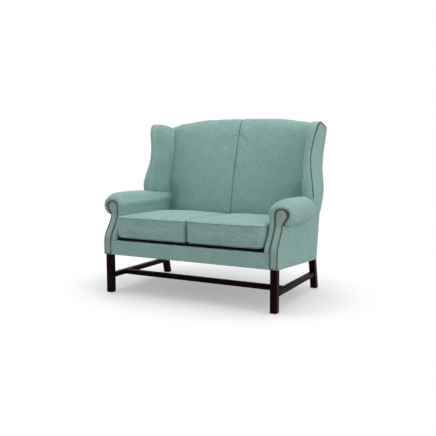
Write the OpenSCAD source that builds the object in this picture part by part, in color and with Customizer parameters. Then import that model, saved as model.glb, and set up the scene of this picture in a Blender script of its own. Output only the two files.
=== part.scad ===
// High back settee for two: scroll arms, wings, a camel-topped back and two loose
// seat cushions on a stretchered base.
// Millimetres. +X is the right side as seen from the front, +Y the back, +Z up.
// The origin is on the floor, at the middle of the outline seen from above.

/* [Overall] */
// Width over the outer faces of the front legs
frame_w = 1165; // [1000:5:1400]
// Depth of the body at its lower edge, from the face of the front legs
base_d = 702; // [660:2:740]
// Height of the upholstery's lower edge above the floor, at the front
body_z = 250; // [225:1:275]
// How much lower that edge is at the back
rear_drop = 50; // [30:1:60]
// Height of the back at its middle
back_h = 1115; // [1060:5:1160]
// How far the back leans from upright, in degrees
back_lean = 9.2; // [7:0.1:12]

/* [Legs and stretchers] */
// Side of the square legs
leg_side = 41; // [36:1:48]
// How far the rear feet kick out behind the body
leg_kick = 50; // [20:1:60]
// How far the rear legs stand outside the front legs
rear_spread = 6; // [2:1:12]
// Height of a nail-on glide
glide_h = 2; // [1.5:0.5:6]
// Diameter of a glide
glide_d = 24; // [16:1:32]
// Height of a stretcher
stretcher_h = 29; // [22:1:38]
// Thickness of a stretcher
stretcher_t = 35; // [24:1:36]
// Height of the stretchers above the floor, at the front
stretcher_z = 95; // [70:1:120]
// How much the side stretchers fall towards the back
stretcher_fall = 9; // [0:1:16]
// Distance of the cross stretcher behind the face of the front legs
cross_y = 160; // [80:5:300]

/* [Seat frame] */
// Height of the front seat rail
rail_h = 84; // [70:1:95]
// Thickness of the seat rails
rail_t = 28; // [22:1:35]
// How much the seat falls from front to back
seat_fall = 15; // [0:1:30]
// Length of a corner block along each rail
block_side = 90; // [60:1:110]
// Diameter of the spring wire
wire_d = 3.6; // [2.5:0.1:4.5]
// Radius of a bend of the springs
bend_r = 15; // [11:0.5:20]
// Straight run between two bends
run_w = 26; // [16:1:36]
// Springs under each cushion
springs_each = 4; // [3:1:5]

/* [Seat] */
// Thickness of the padded deck
deck_t = 12; // [8:1:20]
// Height of a cushion between its two seams
cushion_h = 132; // [110:1:150]
// Rise of a cushion's top above its seam
cushion_crown = 24; // [10:1:35]
// How far the sides of a cushion pull in between its corners
cushion_waist = 5; // [2:1:10]
// Gap between the two cushions
cushion_gap = 3; // [1.5:0.5:8]
// How far the cushions stand ahead of the front legs
cushion_proud = 10; // [4:1:20]
// Radius of a cushion's upright corners
cushion_r = 34; // [20:1:50]

/* [Arms] */
// Height of the arms at their crest
arm_h = 640; // [620:5:680]
// Diameter of the padded arm roll
roll_d = 164; // [150:1:180]
// Fall of the arm from front to back
arm_fall = 22; // [10:1:40]
// How far the arm front sweeps back from the seat up to its head
arm_sweep = 80; // [50:1:100]
// Width of the strip that faces the arm post
facing_w = 51; // [44:1:56]
// Thickness of that facing
facing_t = 8; // [5:0.5:10]
// Diameter of the round head of the facing
head_d = 77; // [68:1:84]
// How far the roll domes forward round the head
dome = 36; // [20:1:45]
// Depth of the arm post behind its facing
post_d = 34; // [28:1:45]

/* [Back] */
// Thickness of the back at its fullest
back_t = 132; // [120:1:142]
// How much lower the shoulders are than the crown
shoulder_drop = 50; // [30:1:70]
// How much the padding draws in beside the wings
side_draw = 30; // [15:1:36]
// Thickness of the back frame
upright_t = 45; // [38:1:48]

/* [Wings] */
// Depth of the wings at their fullest
wing_d = 274; // [240:2:290]
// How far the wing tops lie under the crown of the back
wing_drop = 33; // [26:1:60]
// How far the sides flare out at arm height
flare = 28; // [15:1:34]
// Thickness of the padded front edge of a wing
wing_t = 46; // [42:1:50]
// Thickness of the wing boards
board_t = 18; // [12:1:20]

/* [Trim] */
// Diameter of a nail head
nail_d = 10.5; // [7:0.5:11]
// Distance between two nails
nail_pitch = 12.5; // [11.5:0.5:20]
// Height of a nail head
nail_rise = 3; // [2:0.5:5]

/* [Hidden] */

wood = "#2a0d0a";
beech = "#c9a877";
cloth = "#86aca2";
black_cloth = "#1d1d1f";
steel = "#8d9094";
brass = "#7a5a4e";

// Clearance between neighbours that touch, and the skin of cloth over a flat panel
fit = 0.4;
skin = 4;
// How far one cut runs past what it cuts
over = 1;

// Shares of a size, chosen by eye along the piece that each is named for
front_flare_shares = [[0, 0.03], [0.2, 0.03], [0.3, 0.12], [0.35, 0.5], [0.4, 0.97],
  [0.445, 1.05], [0.49, 1.02], [0.54, 0.81], [0.6, 0.43], [0.66, 0], [0.72, -0.22],
  [0.78, -0.22], [0.84, 0.03], [0.9, 0.35], [0.935, 0.6], [1, 0.95]];
rear_flare_shares = [[-0.06, 0.02], [0.1, -0.06], [0.2, -0.1], [0.28, -0.08], [0.325, 0.16],
  [0.36, 0.33], [0.4, 0.46], [0.44, 0.54], [0.48, 0.55], [0.52, 0.43], [0.56, 0.26],
  [0.6, 0.06], [0.64, -0.04], [0.72, -0.11], [0.8, 0], [0.86, 0.2], [0.9, 0.23], [0.96, 0.13],
  [1, 0.1]];
sweep_shares = [[0, 0], [0.02, 0], [0.17, 0.15], [0.33, 0.47], [0.49, 0.8], [0.65, 1], [1, 1]];
crease_shares = [[0.1, 0.89], [0.2, 0.975], [0.35, 1], [0.6, 1.005], [0.73, 0.975],
  [0.85, 0.915], [1, 0.87]];
roll_end_shares = [[0, 0.855], [0.15, 0.825], [0.3, 0.805], [0.45, 0.8], [0.64, 0.776],
  [0.82, 0.728], [1, 0.715]];
back_profile_shares = [[0.8, 0.1], [0.93, 0.2], [0.99, 0.29], [1, 0.34], [0.97, 0.43],
  [0.934, 0.507], [0.817, 0.692], [0.674, 0.852], [0.506, 0.939], [0.35, 0.981], [0.19, 1],
  [0.07, 0.992], [0.03, 0.976]];
shoulder_shares = [[0, 0], [0.33, 0.05], [0.57, 0.12], [0.78, 0.44], [0.91, 0.68], [1, 1]];
junction_shares = [[0, 0], [0.72, 0], [0.84, 0.25], [0.92, 0.6], [1, 1]];
tuck_shares = [[0.36, 1.9], [0.5, 1]];
wing_edge_shares = [[0.885, -0.105], [0.955, -0.03], [1.005, 0.08], [0.995, 0.2],
  [0.965, 0.32], [0.94, 0.43], [0.935, 0.57], [0.93, 0.7], [0.93, 0.81], [0.905, 0.9],
  [0.84, 0.97], [0.72, 1], [0.52, 0.99], [0.3, 0.972], [0.12, 0.95], [0.03, 0.925]];
wing_roll_shares = [[0, 1], [0.5, 0.95], [0.62, 0.7], [0.72, 0.35], [1, 0.2]];
wing_thick_shares = [[0, 1.3], [0.15, 1.25], [0.35, 1], [0.5, 0.92], [1, 1]];
swell_share = 0.34;
crown_power = 2.6;
rail_top_share = 0.945;
panel_top_share = 0.968;
spread_share = 0.88;

// Small sizes that belong to one kind of piece
hem = 2;                 // the folded cloth under the rails
cover_t = 3;             // the outside back, card and cloth
border_t = 5;            // the padded cloth over the front rail
border_lip = 17;         // how far the border runs back over that rail
deck_set = 26;           // how far the deck's padding stands behind the front rail's face
clip_t = 1;              // sheet of a spring clip
strap_t = 1.5;           // webbing
strap_w = 60;
strap_step = 110;
seam_dip = 6;            // how deep the seam sinks into the inside back
seam_lip = 1.5;          // how far a cushion's seam stands out
seam_set = 6;            // from a cushion's seam to its flat top or bottom
join_gap = 2.2;          // crease between two pads whose faces curve
face_set = 1.5;          // how far the inside arm stands back from its roll
seat_sag = 6;            // crease between the wing pad and the arm roll
shoulder_out = 46;       // how much wider the throat is up at the shoulders
edge_r = 10;             // rounding of the inside arm's front edge
roll_run = 150;          // how far back the roll swells to its full size, over its top
inner_run = 42;          // and on its inner side
roll_taper = 22;         // how much narrower the roll is where it ends against the wing
side_wrap = 7;           // how far a facing covers the outside arm's edge
neck_lean = 32;          // slope of the neck under a facing's head, in degrees
tack_w = 20;             // tacking rails
tack_h = 40;
post_w = 45;             // width of a back post
centre_w = 44;           // width of the centre upright
rail_board_t = 25;       // the arm rail's board
top_rail_h = 62;
board_w = 46;            // width of the wing post and wing rail within their board
centre_rail_h = 60;
block_t = 30;
block_drop = 24;         // corner blocks lie this far under the top of the rails

// Where things are
half_w = frame_w / 2;
roll_r = roll_d / 2;
throat = half_w - roll_r;
head_r = head_d / 2;
face_out = half_w + side_wrap;
face_in = face_out - facing_w;
head_x = face_in + head_r;
head_z = arm_h - roll_r - (roll_r - head_r) / 4;
head_top = head_z + head_r;
throat_z = head_z - head_r * 1.36;
shelf_x = head_x + head_r;
wing_z = back_h - wing_drop;
board_out = half_w + skin - cover_t - 0.3 * flare;
board_in = board_out - board_t;
frame_t = cover_t + fit + upright_t;
pad_t = frame_t + strap_t + 2 * fit;
seat_tilt = atan(seat_fall / base_d);
spring_room = 2 * clip_t + wire_d + 3 * fit;
knee_z = body_z - rear_drop;
sin_lean = sin(back_lean);
cos_lean = cos(back_lean);
crest_w = (back_h - body_z - back_t * back_profile_shares[10][0] * sin_lean) / cos_lean;
foot_w = (deck_top(base_d) - body_z) / cos_lean;
border_top = rail_top(0) + border_t;

function mix(a, b, t) = a + (b - a) * t;
function ease(t) = t <= 0 ? 0 : t >= 1 ? 1 : t * t * (3 - 2 * t);
function unit(v) = v / norm(v);
function line(a, b, n) = [for (k = [0 : n - 1]) mix(a, b, k / n)];
function arc(centre, r, from, to, n) =
  [for (k = [0 : n - 1]) let (a = mix(from, to, k / (n - 1))) centre + r * [cos(a), sin(a)]];

// Smooth step through b and c, led by their neighbours a and d
function through(a, b, c, d, t) =
  b + t / 2 * (c - a + t * (2 * a - 5 * b + 4 * c - d + t * (3 * (b - c) + d - a)));

// n points along a smooth open line through a few points
function smooth(points, n) = let (last = len(points) - 1) [for (k = [0 : n - 1])
  let (u = k * last / (n - 1), i = min(floor(u), last - 1))
  through(points[max(i - 1, 0)], points[i], points[i + 1], points[min(i + 2, last)], u - i)];

// Slope of a table of [place, value] at row i
function slope(table, i) = let (a = max(i - 1, 0), b = min(i + 1, len(table) - 1))
  (table[b][1] - table[a][1]) / (table[b][0] - table[a][0]);

// Smooth value at u from a table of [place, value]
function look(table, u) = let (last = len(table) - 1)
  u <= table[0][0] ? table[0][1] : u >= table[last][0] ? table[last][1] :
  let (i = max([for (k = [0 : last - 1]) if (table[k][0] <= u) k]),
    h = table[i + 1][0] - table[i][0], t = (u - table[i][0]) / h)
  mix(table[i][1], table[i + 1][1], ease(t))
  + t * (1 - t) * h * ((1 - t) * slope(table, i) - t * slope(table, i + 1));

// Points one pitch apart along a line of points, with the place of each as [point, before, after]
function paced(points, pitch) = let (
    ends = [for (i = 0, s = 0; i < len(points);
      s = s + (i < len(points) - 1 ? norm(points[i + 1] - points[i]) : 0), i = i + 1) s],
    total = ends[len(ends) - 1], n = round(total / pitch))
  [for (k = [0 : n - 1]) let (s = (k + 0.5) * total / n,
    i = max([for (j = [0 : len(ends) - 2]) if (ends[j] <= s) j]))
    mix(points[i], points[i + 1], (s - ends[i]) / (ends[i + 1] - ends[i]))];

// Lines of the seat
function body_bottom(y) = body_z - rear_drop * y / base_d;
function rail_top(y) = body_z + hem + rail_h - seat_fall * y / base_d;
function deck_top(y) = rail_top(y) + spring_room + deck_t;

// Lines of the back: z up, or t forward from its outside and w up along it
function back_y(z) = base_d + (z - body_z) * tan(back_lean);
function rear_line(z) = back_y(z) - (cover_t + fit) / cos_lean;
function post_front(z) = back_y(z) - frame_t / cos_lean;
function on_back(x, t, w) =
  [x, base_d + w * sin_lean - t * cos_lean, body_z + w * cos_lean + t * sin_lean];
function leg_front(z) = rear_line(z) - leg_side;

// Outside face of the settee's side
function spread(y) = rear_spread * min(1, max(0, y) / (base_d * spread_share));
function side_x(y, z) = let (h = (z - body_z) / (wing_z - body_z))
  half_w + skin + spread(y) + flare * mix(look(front_flare_shares, h), look(rear_flare_shares, h),
    ease(1 - (back_y(z) - y) / wing_d));

// The arm: face of its post, then the roll's crest and crease, half sizes and middle along y
function sweep(z) = arm_sweep
  * min(1, max(0, look(sweep_shares, (z - rail_top(0)) / (head_top - rail_top(0)))));
function arm_crest(y) = arm_h - arm_fall * ease((y / base_d - 0.2) / 0.6);
function crease_z(y) = arm_h - roll_d * look(crease_shares, y / base_d);
function arm_a(y) = roll_r - roll_taper * ease((y / base_d - 0.5) / 0.32);
function arm_b(y) = (arm_crest(y) - crease_z(y)) / 2;
function arm_cx(y) = throat + arm_a(y);
function arm_cz(y) = (arm_crest(y) + crease_z(y)) / 2;
function arm_top(x, y) = let (u = (x - arm_cx(y)) / arm_a(y))
  arm_cz(y) + arm_b(y) * sqrt(max(1 - u * u, 0.06));
function roll_end(z) = base_d * look(roll_end_shares,
  (z - crease_z(base_d)) / (arm_crest(base_d) - crease_z(base_d)));
rail_narrow = roll_end(head_top) - 3 * fit;
function rail_edge(y) = max(board_out, mix(shelf_x, board_out,
  (y - arm_sweep - post_d) / (rail_narrow - arm_sweep - post_d)));
// Front of the back frame and its webbing, where the padding ends
function pad_y(z) = back_y(z) - pad_t / cos_lean;

// The back pad: height of its crest at share u of the half width, and half its width at w
function crest(u) = crest_w - shoulder_drop * look(shoulder_shares, u);
function junction_x(w) = throat + shoulder_out * max(0, look(junction_shares, w / crest_w));

// Middle front surface of the inside back, forward of its outside
back_curve = smooth([for (p = back_profile_shares) [p[0] * back_t, p[1] * crest_w]], 17);
function drawn(t, w) = side_draw * max(0, t - pad_t) / (back_t - pad_t)
  * look(tuck_shares, w / crest_w);
edge_table = [for (p = back_curve) if (p[0] > pad_t) [p[1], p[0] - drawn(p[0], p[1])]];

// The wing's edge as [y, z], from the arm up and over the top to the back
wing_stations = 24;
wing_edge = smooth([for (p = wing_edge_shares)
  let (z = arm_h + p[1] * (wing_z - arm_h)) [back_y(z) - p[0] * wing_d, z]], wing_stations);
function wing_normal(k) = let (
    t = unit(wing_edge[min(k + 1, wing_stations - 1)] - wing_edge[max(k - 1, 0)])) [-t[1], t[0]];

module yz(from, to) {
  translate([from, 0, 0]) rotate([90, 0, 90]) linear_extrude(to - from) children();
}

module xz(from, to) {
  translate([0, to, 0]) rotate([90, 0, 0]) linear_extrude(to - from) children();
}

module on_seat() {
  translate([0, 0, rail_top(0)]) rotate([-seat_tilt, 0, 0]) children();
}

module back_plane() {
  translate([0, base_d, body_z]) rotate([-back_lean, 0, 0]) children();
}

// Moves everything so that the origin halves the outline
module placed() {
  translate([0, -(y_front + y_rear) / 2, 0]) children();
}

module left() {
  mirror([1, 0, 0]) children();
}

function quad(a, b, c, d) = [[a, b, c], [a, c, d]];

// Closed solid between two grids of points with as many rows and columns
module sheet(outer, inner) {
  m = len(outer);
  n = len(outer[0]);
  o = function (j, i) j * n + i;
  q = function (j, i) (m + j) * n + i;
  polyhedron(concat([for (r = outer) each r], [for (r = inner) each r]), concat(
    [for (j = [0 : m - 2], i = [0 : n - 2])
      each quad(o(j, i), o(j, i + 1), o(j + 1, i + 1), o(j + 1, i))],
    [for (j = [0 : m - 2], i = [0 : n - 2])
      each quad(q(j, i), q(j + 1, i), q(j + 1, i + 1), q(j, i + 1))],
    [for (j = [0 : m - 2]) each quad(o(j, 0), o(j + 1, 0), q(j + 1, 0), q(j, 0))],
    [for (j = [0 : m - 2]) each quad(o(j, n - 1), q(j, n - 1), q(j + 1, n - 1), o(j + 1, n - 1))],
    [for (i = [0 : n - 2]) each quad(o(0, i), q(0, i), q(0, i + 1), o(0, i + 1))],
    [for (i = [0 : n - 2]) each quad(o(m - 1, i), o(m - 1, i + 1), q(m - 1, i + 1), q(m - 1, i))]),
    convexity = 8);
}

// Closed solid through level rings, with a point that closes each end
module stack(rings, low, high) {
  m = len(rings);
  n = len(rings[0]);
  o = function (j, i) j * n + (i + n) % n;
  polyhedron(concat([for (r = rings) each r], [low, high]), concat(
    [for (j = [0 : m - 2], i = [0 : n - 1])
      each quad(o(j, i), o(j + 1, i), o(j + 1, i + 1), o(j, i + 1))],
    [for (i = [0 : n - 1]) [m * n, o(0, i), o(0, i + 1)]],
    [for (i = [0 : n - 1]) [m * n + 1, o(m - 1, i + 1), o(m - 1, i)]]), convexity = 4);
}

// Base

module front_leg() {
  color(wood) translate([half_w - leg_side, 0, glide_h])
    cube([leg_side, leg_side, rail_top(0) - glide_h]);
}

module rear_leg() {
  foot_y = rear_line(knee_z) + leg_kick;
  top_z = rail_top(base_d);
  color(wood) yz(half_w + rear_spread - leg_side, half_w + rear_spread) polygon([
    [foot_y - leg_side, glide_h], [foot_y, glide_h], [rear_line(knee_z), knee_z],
    [rear_line(top_z), top_z], [leg_front(top_z), top_z], [leg_front(knee_z), knee_z]]);
}

module leg_glides() {
  foot_y = rear_line(knee_z) + leg_kick - leg_side / 2;
  color("#d8d6d0") for (s = [-1, 1]) {
    translate([s * (half_w - leg_side / 2), leg_side / 2, 0])
      cylinder(h = glide_h, d = glide_d, $fn = 32);
    translate([s * (half_w + rear_spread - leg_side / 2), foot_y, 0])
      cylinder(h = glide_h, d = glide_d, $fn = 32);
  }
}

stretcher_x = half_w + (rear_spread - leg_side - stretcher_t) / 2;
function stretcher_low(y) = stretcher_z - stretcher_fall * y / base_d;

module side_stretcher() {
  // The rear leg's front face as it kicks out below the knee
  meets = function (z) leg_front(knee_z) + leg_kick * (knee_z - z) / (knee_z - glide_h);
  low = stretcher_low(base_d);
  color(wood) yz(stretcher_x, stretcher_x + stretcher_t) polygon([
    [leg_side, stretcher_low(leg_side)], [meets(low), low], [meets(low + stretcher_h),
    low + stretcher_h], [leg_side, stretcher_low(leg_side) + stretcher_h]]);
}

module cross_stretcher() {
  color(wood) translate([-stretcher_x, cross_y, stretcher_low(cross_y)])
    cube([2 * stretcher_x, stretcher_t, stretcher_h]);
}

// Seat frame

module front_seat_rail() {
  x = half_w - leg_side;
  color(beech) yz(-x, x) polygon([[0, body_bottom(0) + hem], [rail_t, body_bottom(rail_t) + hem],
    [rail_t, rail_top(rail_t)], [0, rail_top(0)]]);
}

module rear_seat_rail() {
  x = half_w + rear_spread - leg_side;
  low = body_bottom(rear_line(knee_z)) + hem;
  near_low = body_bottom(rear_line(low) - rail_t) + hem;
  top = rail_top(base_d);
  color(beech) yz(-x, x) polygon([[rear_line(near_low) - rail_t, near_low], [rear_line(low), low],
    [rear_line(top), top], [rear_line(top) - rail_t, top]]);
}

module side_seat_rail() {
  low = body_bottom(leg_front(knee_z)) + hem;
  top = rail_top(base_d);
  color(beech) yz(half_w - rail_t, half_w) polygon([[leg_side, body_bottom(leg_side) + hem],
    [leg_front(low), low], [leg_front(top), top], [leg_side, rail_top(leg_side)]]);
}

module centre_seat_rail() {
  low = rail_top(base_d) - centre_rail_h;
  top = rail_top(base_d);
  rear = function (z) rear_line(z) - rail_t;
  color(beech) yz(-rail_t / 2, rail_t / 2) polygon([
    [rail_t, rail_top(0) - centre_rail_h], [rear(low), low], [rear(top), top],
    [rail_t, rail_top(rail_t)]]);
}

// One block in a corner: x and y where its two rails are, and how far the leg stands in
module corner_block(rail_x, leg_x, rail_y, leg_y, run) {
  linear_extrude(block_t) polygon([[rail_x, leg_y], [rail_x, leg_y + run],
    [leg_x - abs(run), rail_y], [leg_x, rail_y], [leg_x, leg_y]]);
}

module corner_blocks() {
  front_z = rail_top(0) - block_drop - block_t;
  rear_z = rail_top(base_d) - block_drop - block_t;
  color(beech) for (s = [0, 1]) mirror([s, 0, 0]) {
    translate([0, 0, front_z])
      corner_block(half_w - rail_t, half_w - leg_side, rail_t, leg_side, block_side);
    translate([0, 0, rear_z])
      corner_block(half_w - rail_t, half_w + rear_spread - leg_side,
        rear_line(rear_z) - rail_t, leg_front(rear_z), -block_side);
  }
}

clip_h = 2 * clip_t + 2 * fit + wire_d;
spring_from = max(rail_t / 2, border_lip + clip_h + fit);
spring_to = rear_line(rail_top(base_d)) - rail_t / 2;
bends = floor((spring_to - spring_from) / (2 * bend_r));
spring_start = (spring_from + spring_to) / 2 - bends * bend_r;
spring_step = (half_w - rail_t * 3 / 2) / springs_each;
function spring_x(k) = rail_t / 2 + (k + 0.5) * spring_step;

// Zigzag wire: straight runs joined by half-round bends
module seat_springs() {
  color(steel) on_seat() for (k = [0 : springs_each - 1])
    translate([spring_x(k), spring_start, clip_t + fit + wire_d / 2]) for (b = [0 : bends])
      translate([0, 2 * bend_r * b, 0]) {
        rotate([0, 90, 0]) cylinder(h = run_w, d = wire_d, center = true, $fn = 24);
        if (b < bends) mirror([b % 2, 0, 0]) translate([run_w / 2, bend_r, 0]) rotate([0, 0, -90])
          rotate_extrude(angle = 180, $fn = 48) translate([bend_r, 0]) circle(d = wire_d, $fn = 24);
      }
}

// A clip holds each end of a spring down on its rail
module spring_clips() {
  w = run_w * 2 / 3;
  h = clip_h;
  color(steel) on_seat() for (s = [0, 1], k = [0 : springs_each - 1], b = [0, bends])
    mirror([s, 0, 0]) translate([spring_x(k), spring_start + 2 * bend_r * b, 0]) difference() {
      translate([-w / 2, -h, 0]) cube([w, 2 * h, h]);
      translate([0, 0, clip_t + fit + wire_d / 2]) rotate([0, 90, 0])
        cylinder(h = w + 2 * over, d = wire_d + fit, center = true, $fn = 24);
    }
}

module seat_deck() {
  x = throat - fit;
  rear = leg_front(rail_top(base_d)) - 2 * fit;
  color(black_cloth) on_seat() yz(-x, x) polygon([[deck_set, spring_room],
    [rear, spring_room], [rear, spring_room + deck_t],
    [deck_set + deck_t, spring_room + deck_t], [deck_set + deck_t / 4, spring_room + deck_t * 0.7]]);
}

module dust_cover() {
  x = half_w - leg_side - fit;
  rear = rear_line(knee_z) - fit;
  color(black_cloth) yz(-x, x) polygon([[fit, body_bottom(0) + fit],
    [rear, body_bottom(rear) + fit], [rear, body_bottom(rear) + hem - fit],
    [fit, body_bottom(0) + hem - fit]]);
}

module front_border() {
  x = face_in - fit;
  top = rail_top(0) + fit;
  color(cloth) yz(-x, x) polygon([[-border_t, body_z], [-fit, body_z], [-fit, top],
    [border_lip, top], [border_lip, border_top - border_t * 0.3], [border_lip * 0.8, border_top],
    [-border_t * 0.4, border_top], [-border_t * 0.85, border_top - border_t * 0.35],
    [-border_t, border_top - border_t]]);
}

// Seat cushions

cushion_from = cushion_gap / 2 + seam_lip;
cushion_to = throat - seam_lip - fit * 2;
cushion_rear = on_back(0, back_t, foot_w)[1] - seam_lip - fit * 2;
cushion_mid = [(cushion_from + cushion_to) / 2, (cushion_rear - cushion_proud) / 2];
cushion_half = [cushion_to, cushion_rear] - cushion_mid;

// Rounded outline of a cushion, drawn in between its corners, at an inset and a height
function cushion_ring(inset, rise) = let (
    x0 = cushion_from, x1 = cushion_to, y0 = -cushion_proud, y1 = cushion_rear,
    r = cushion_r, corner = 4, side = 5,
    ends = [[x1 - r, y0 + r, -90], [x1 - r, y1 - r, 0], [x0 + r, y1 - r, 90], [x0 + r, y0 + r, 180]])
  [for (k = [0 : 3]) each let (
      e = ends[k], f = ends[(k + 1) % 4], a = e[2] + 90, s = r - inset,
      p = [e[0], e[1]] + s * [cos(a), sin(a)], q = [f[0], f[1]] + s * [cos(a), sin(a)])
    concat(
      [for (c = [0 : corner - 1]) let (b = e[2] + 90 * c / corner)
        level([e[0], e[1]] + s * [cos(b), sin(b)], rise)],
      [for (c = [0 : side - 1]) let (t = c / side)
        level(mix(p, q, t) - sin(180 * t) * cushion_waist * [cos(a), sin(a)], rise)])];

// A point of the plan at a height over the sloping deck
function level(p, rise) = [p[0], p[1], deck_top(p[1]) + fit + rise];

// A ring drawn in towards the cushion's middle by a share, on its crowned top
function crown(d) = 1 - pow(min(abs(d), 1), crown_power);
function crown_ring(share) = [for (q = cushion_ring(seam_set, 0)) let (
    p = mix([q[0], q[1]], cushion_mid, share), d = p - cushion_mid)
  level(p, cushion_h + 2 * seam_lip + cushion_crown * crown(d[0] / cushion_half[0])
    * crown(d[1] / cushion_half[1]))];

module seat_cushion() {
  seam = seam_set + 2 * seam_lip;
  color(cloth) stack(concat(
    [cushion_ring(seam_set * 2, 0), cushion_ring(seam_lip, seam_set * 0.4),
      cushion_ring(-seam_lip, seam_set), cushion_ring(seam_lip, seam),
      cushion_ring(0, cushion_h * 0.35), cushion_ring(0, cushion_h * 0.75),
      cushion_ring(seam_lip, cushion_h - seam_lip * 2), cushion_ring(-seam_lip, cushion_h),
      cushion_ring(seam_lip, cushion_h + seam_lip * 2)],
    [for (s = [0.04, 0.16, 0.34, 0.6]) crown_ring(s)]),
    level(cushion_mid, 0), level(cushion_mid, cushion_h + 2 * seam_lip + cushion_crown));
}

// Arms

// Height at which the neck under the head, of radius r, meets an upright edge at x
function neck_z(r, x) =
  head_z - r * sin(neck_lean) - (head_x + r * cos(neck_lean) - x) / tan(neck_lean);

// Front outline of a post or facing: its strip from a height up, its neck and its round head
module post_outline(from, out) {
  polygon([[face_in, from], [out, from], [out, max(neck_z(head_r, out), crease_z(0) + fit)],
    [head_x, head_z] + head_r * [cos(neck_lean), -sin(neck_lean)], [head_x, head_z],
    [face_in, head_z]]);
  translate([head_x, head_z]) circle(d = head_d, $fn = 64);
}

// Slab that follows the sweep of the arm, between two depths behind its face
module sweep_slab(from, to) {
  heights = [for (k = [0 : 24]) mix(body_z, head_top, k / 24)];
  yz(face_in - over, shelf_x + over) polygon(concat(
    [for (z = heights) [sweep(z) + from, z]],
    [for (k = [24 : -1 : 0]) [sweep(heights[k]) + to, heights[k]]]));
}

module arm_post() {
  color(beech) intersection() {
    xz(-over, arm_sweep + post_d + over) post_outline(rail_top(0), half_w);
    sweep_slab(0, post_d);
  }
}

module arm_rail() {
  low = head_top - rail_board_t;
  from = arm_sweep + post_d;
  to = post_front(low);
  color(beech) translate([0, 0, low]) linear_extrude(rail_board_t) polygon([[face_in, from],
    [shelf_x, from], [board_out, rail_narrow], [board_out, to], [face_in, to]]);
}

module arm_tacking_rail() {
  low = deck_top(0) + deck_t;
  top = low + tack_h;
  color(beech) yz(face_in, face_in + tack_w) polygon([[sweep(low) + post_d, low],
    [post_front(low), low], [post_front(top), top], [sweep(top) + post_d, top]]);
}

module arm_facing() {
  color(cloth) intersection() {
    xz(-facing_t - over, arm_sweep + over) post_outline(body_z + fit, face_out);
    sweep_slab(-facing_t - fit, -fit);
  }
}

// Line of nails round the facing, as [x, y, z] on its face
nail_in = nail_d * 0.42;
nail_lift = fit * 1.6;
facing_line = let (
    x0 = face_in + nail_in, x1 = face_out - nail_in, z0 = body_z + nail_in + fit,
    r = head_r - nail_in, neck = neck_z(r, x1), mid = (x0 + x1) / 2)
  [for (p = concat(line([mid, z0], [x0, z0], 3), line([x0, z0], [x0, head_z], 24),
      arc([head_x, head_z], r, 180, -neck_lean, 24),
      line([x1, neck], [x1, z0], 20), line([x1, z0], [mid, z0], 3)))
    [p[0], sweep(p[1]) - facing_t - fit, p[1]]];

// The whole outline from front to back, which the origin halves
y_front = min(-cushion_proud - seam_lip, min([for (p = facing_line) p[1]]) - nail_lift - nail_rise);
y_rear = base_d + panel_top_share * crest_w * sin_lean;

// Low dome of a nail head
module nail() {
  r = (nail_d * nail_d / 4 + nail_rise * nail_rise) / (2 * nail_rise);
  rotate_extrude($fn = 32) intersection() {
    translate([0, nail_rise - r]) circle(r = r, $fn = 64);
    square([nail_d, nail_rise + over]);
  }
}

// Nail at a point, its axis along v
module nail_at(p, v) {
  translate(p + unit(v) * nail_lift) rotate([0, acos(unit(v)[2]), atan2(v[1], v[0])]) nail();
}

module arm_nails() {
  color(brass) for (p = paced(facing_line, nail_pitch))
    nail_at(p, [0, -1, (sweep(p[2] + nail_d / 2) - sweep(p[2] - nail_d / 2)) / nail_d]);
}

// Section of the timber that the arm pad goes round: the post's head and neck where the share
// is 0, the rail's board where it is 1
function core_section(y, low, share) = let (
    x0 = face_in - fit, x1 = rail_edge(y) + fit, x2 = half_w + fit, x3 = face_out + fit,
    r = head_r / cos((180 + neck_lean) / 24) + 3 * fit, top = head_top + 2 * fit,
    crease = crease_z(y), step = (x1 - x0) / 8,
    head = concat(line([x0, low], [x0, head_z], 6), arc([head_x, head_z], r, 180, -neck_lean, 13),
      [[x3, neck_z(r, x3)], [x3, (neck_z(r, x3) + crease) / 2], [x3, crease]]),
    board = concat(line([x0, low], [x0, head_z], 6), [[x0, head_z], [x0, (head_z + top) / 2],
      [x0, top], [x0 + step, top], [x0 + 2 * step, top], [x1 - 3 * step, top]],
      line([x1, top], [x1, head_z - head_r * 0.1], 4),
      [[x1, head_z - head_r * 0.1], [x1, head_z - head_r * 0.45],
        [mix(x2, x1, 0.68), (head_z - head_r * 0.45 + throat_z) / 2],
        [x2, throat_z], [x2, (throat_z + crease) / 2], [x2, crease]]))
  [for (i = [0 : arm_points - 1]) mix(head[i], board[i], share)];

// Section of the padded arm at depth y: inside arm, roll and crease
arm_points = 22;
function arm_angle(i) = 195 - 275 * (i - 5) / 15;
function arm_section(y, low, i) = let (x = throat + face_set, z = arm_cz(y) - arm_b(y) * 0.45)
  i < 5 ? mix([x, low], [x, z], i / 5)
  : i < arm_points - 1 ? [arm_cx(y) + arm_a(y) * cos(arm_angle(i)),
    arm_cz(y) + arm_b(y) * sin(arm_angle(i))]
  : [max(side_x(y, crease_z(y)), face_out + 3 * fit), crease_z(y)];

// Whether point i of the arm's section runs back to the frame inside the wing's board
function runs_back(i) = i < arm_points / 2
  && arm_section(base_d * spread_share, front_low, i + 1)[0] < board_in;
// Where it ends at a height z: there, or against the wing
function arm_end(i, z) = runs_back(i) ? pad_y(z) - fit : roll_end(z) - fit;

// The pad's front: out from the head and forward, then back as the roll swells to full size
swell_rows = 3;
full_rows = 5;
rear_rows = 6;
front_low = border_top + fit;

function roll_lift(i) = let (p = arm_section(arm_sweep, front_low, i))
  ease((p[1] - (arm_h - roll_d)) / (0.6 * roll_r));
function run_back(i) = i < 5 ? mix(edge_r, inner_run, roll_lift(i))
  : mix(inner_run, roll_run, ease((180 - arm_angle(i)) / 100));
function face_y(z) = sweep(z) - facing_t - fit;

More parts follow.
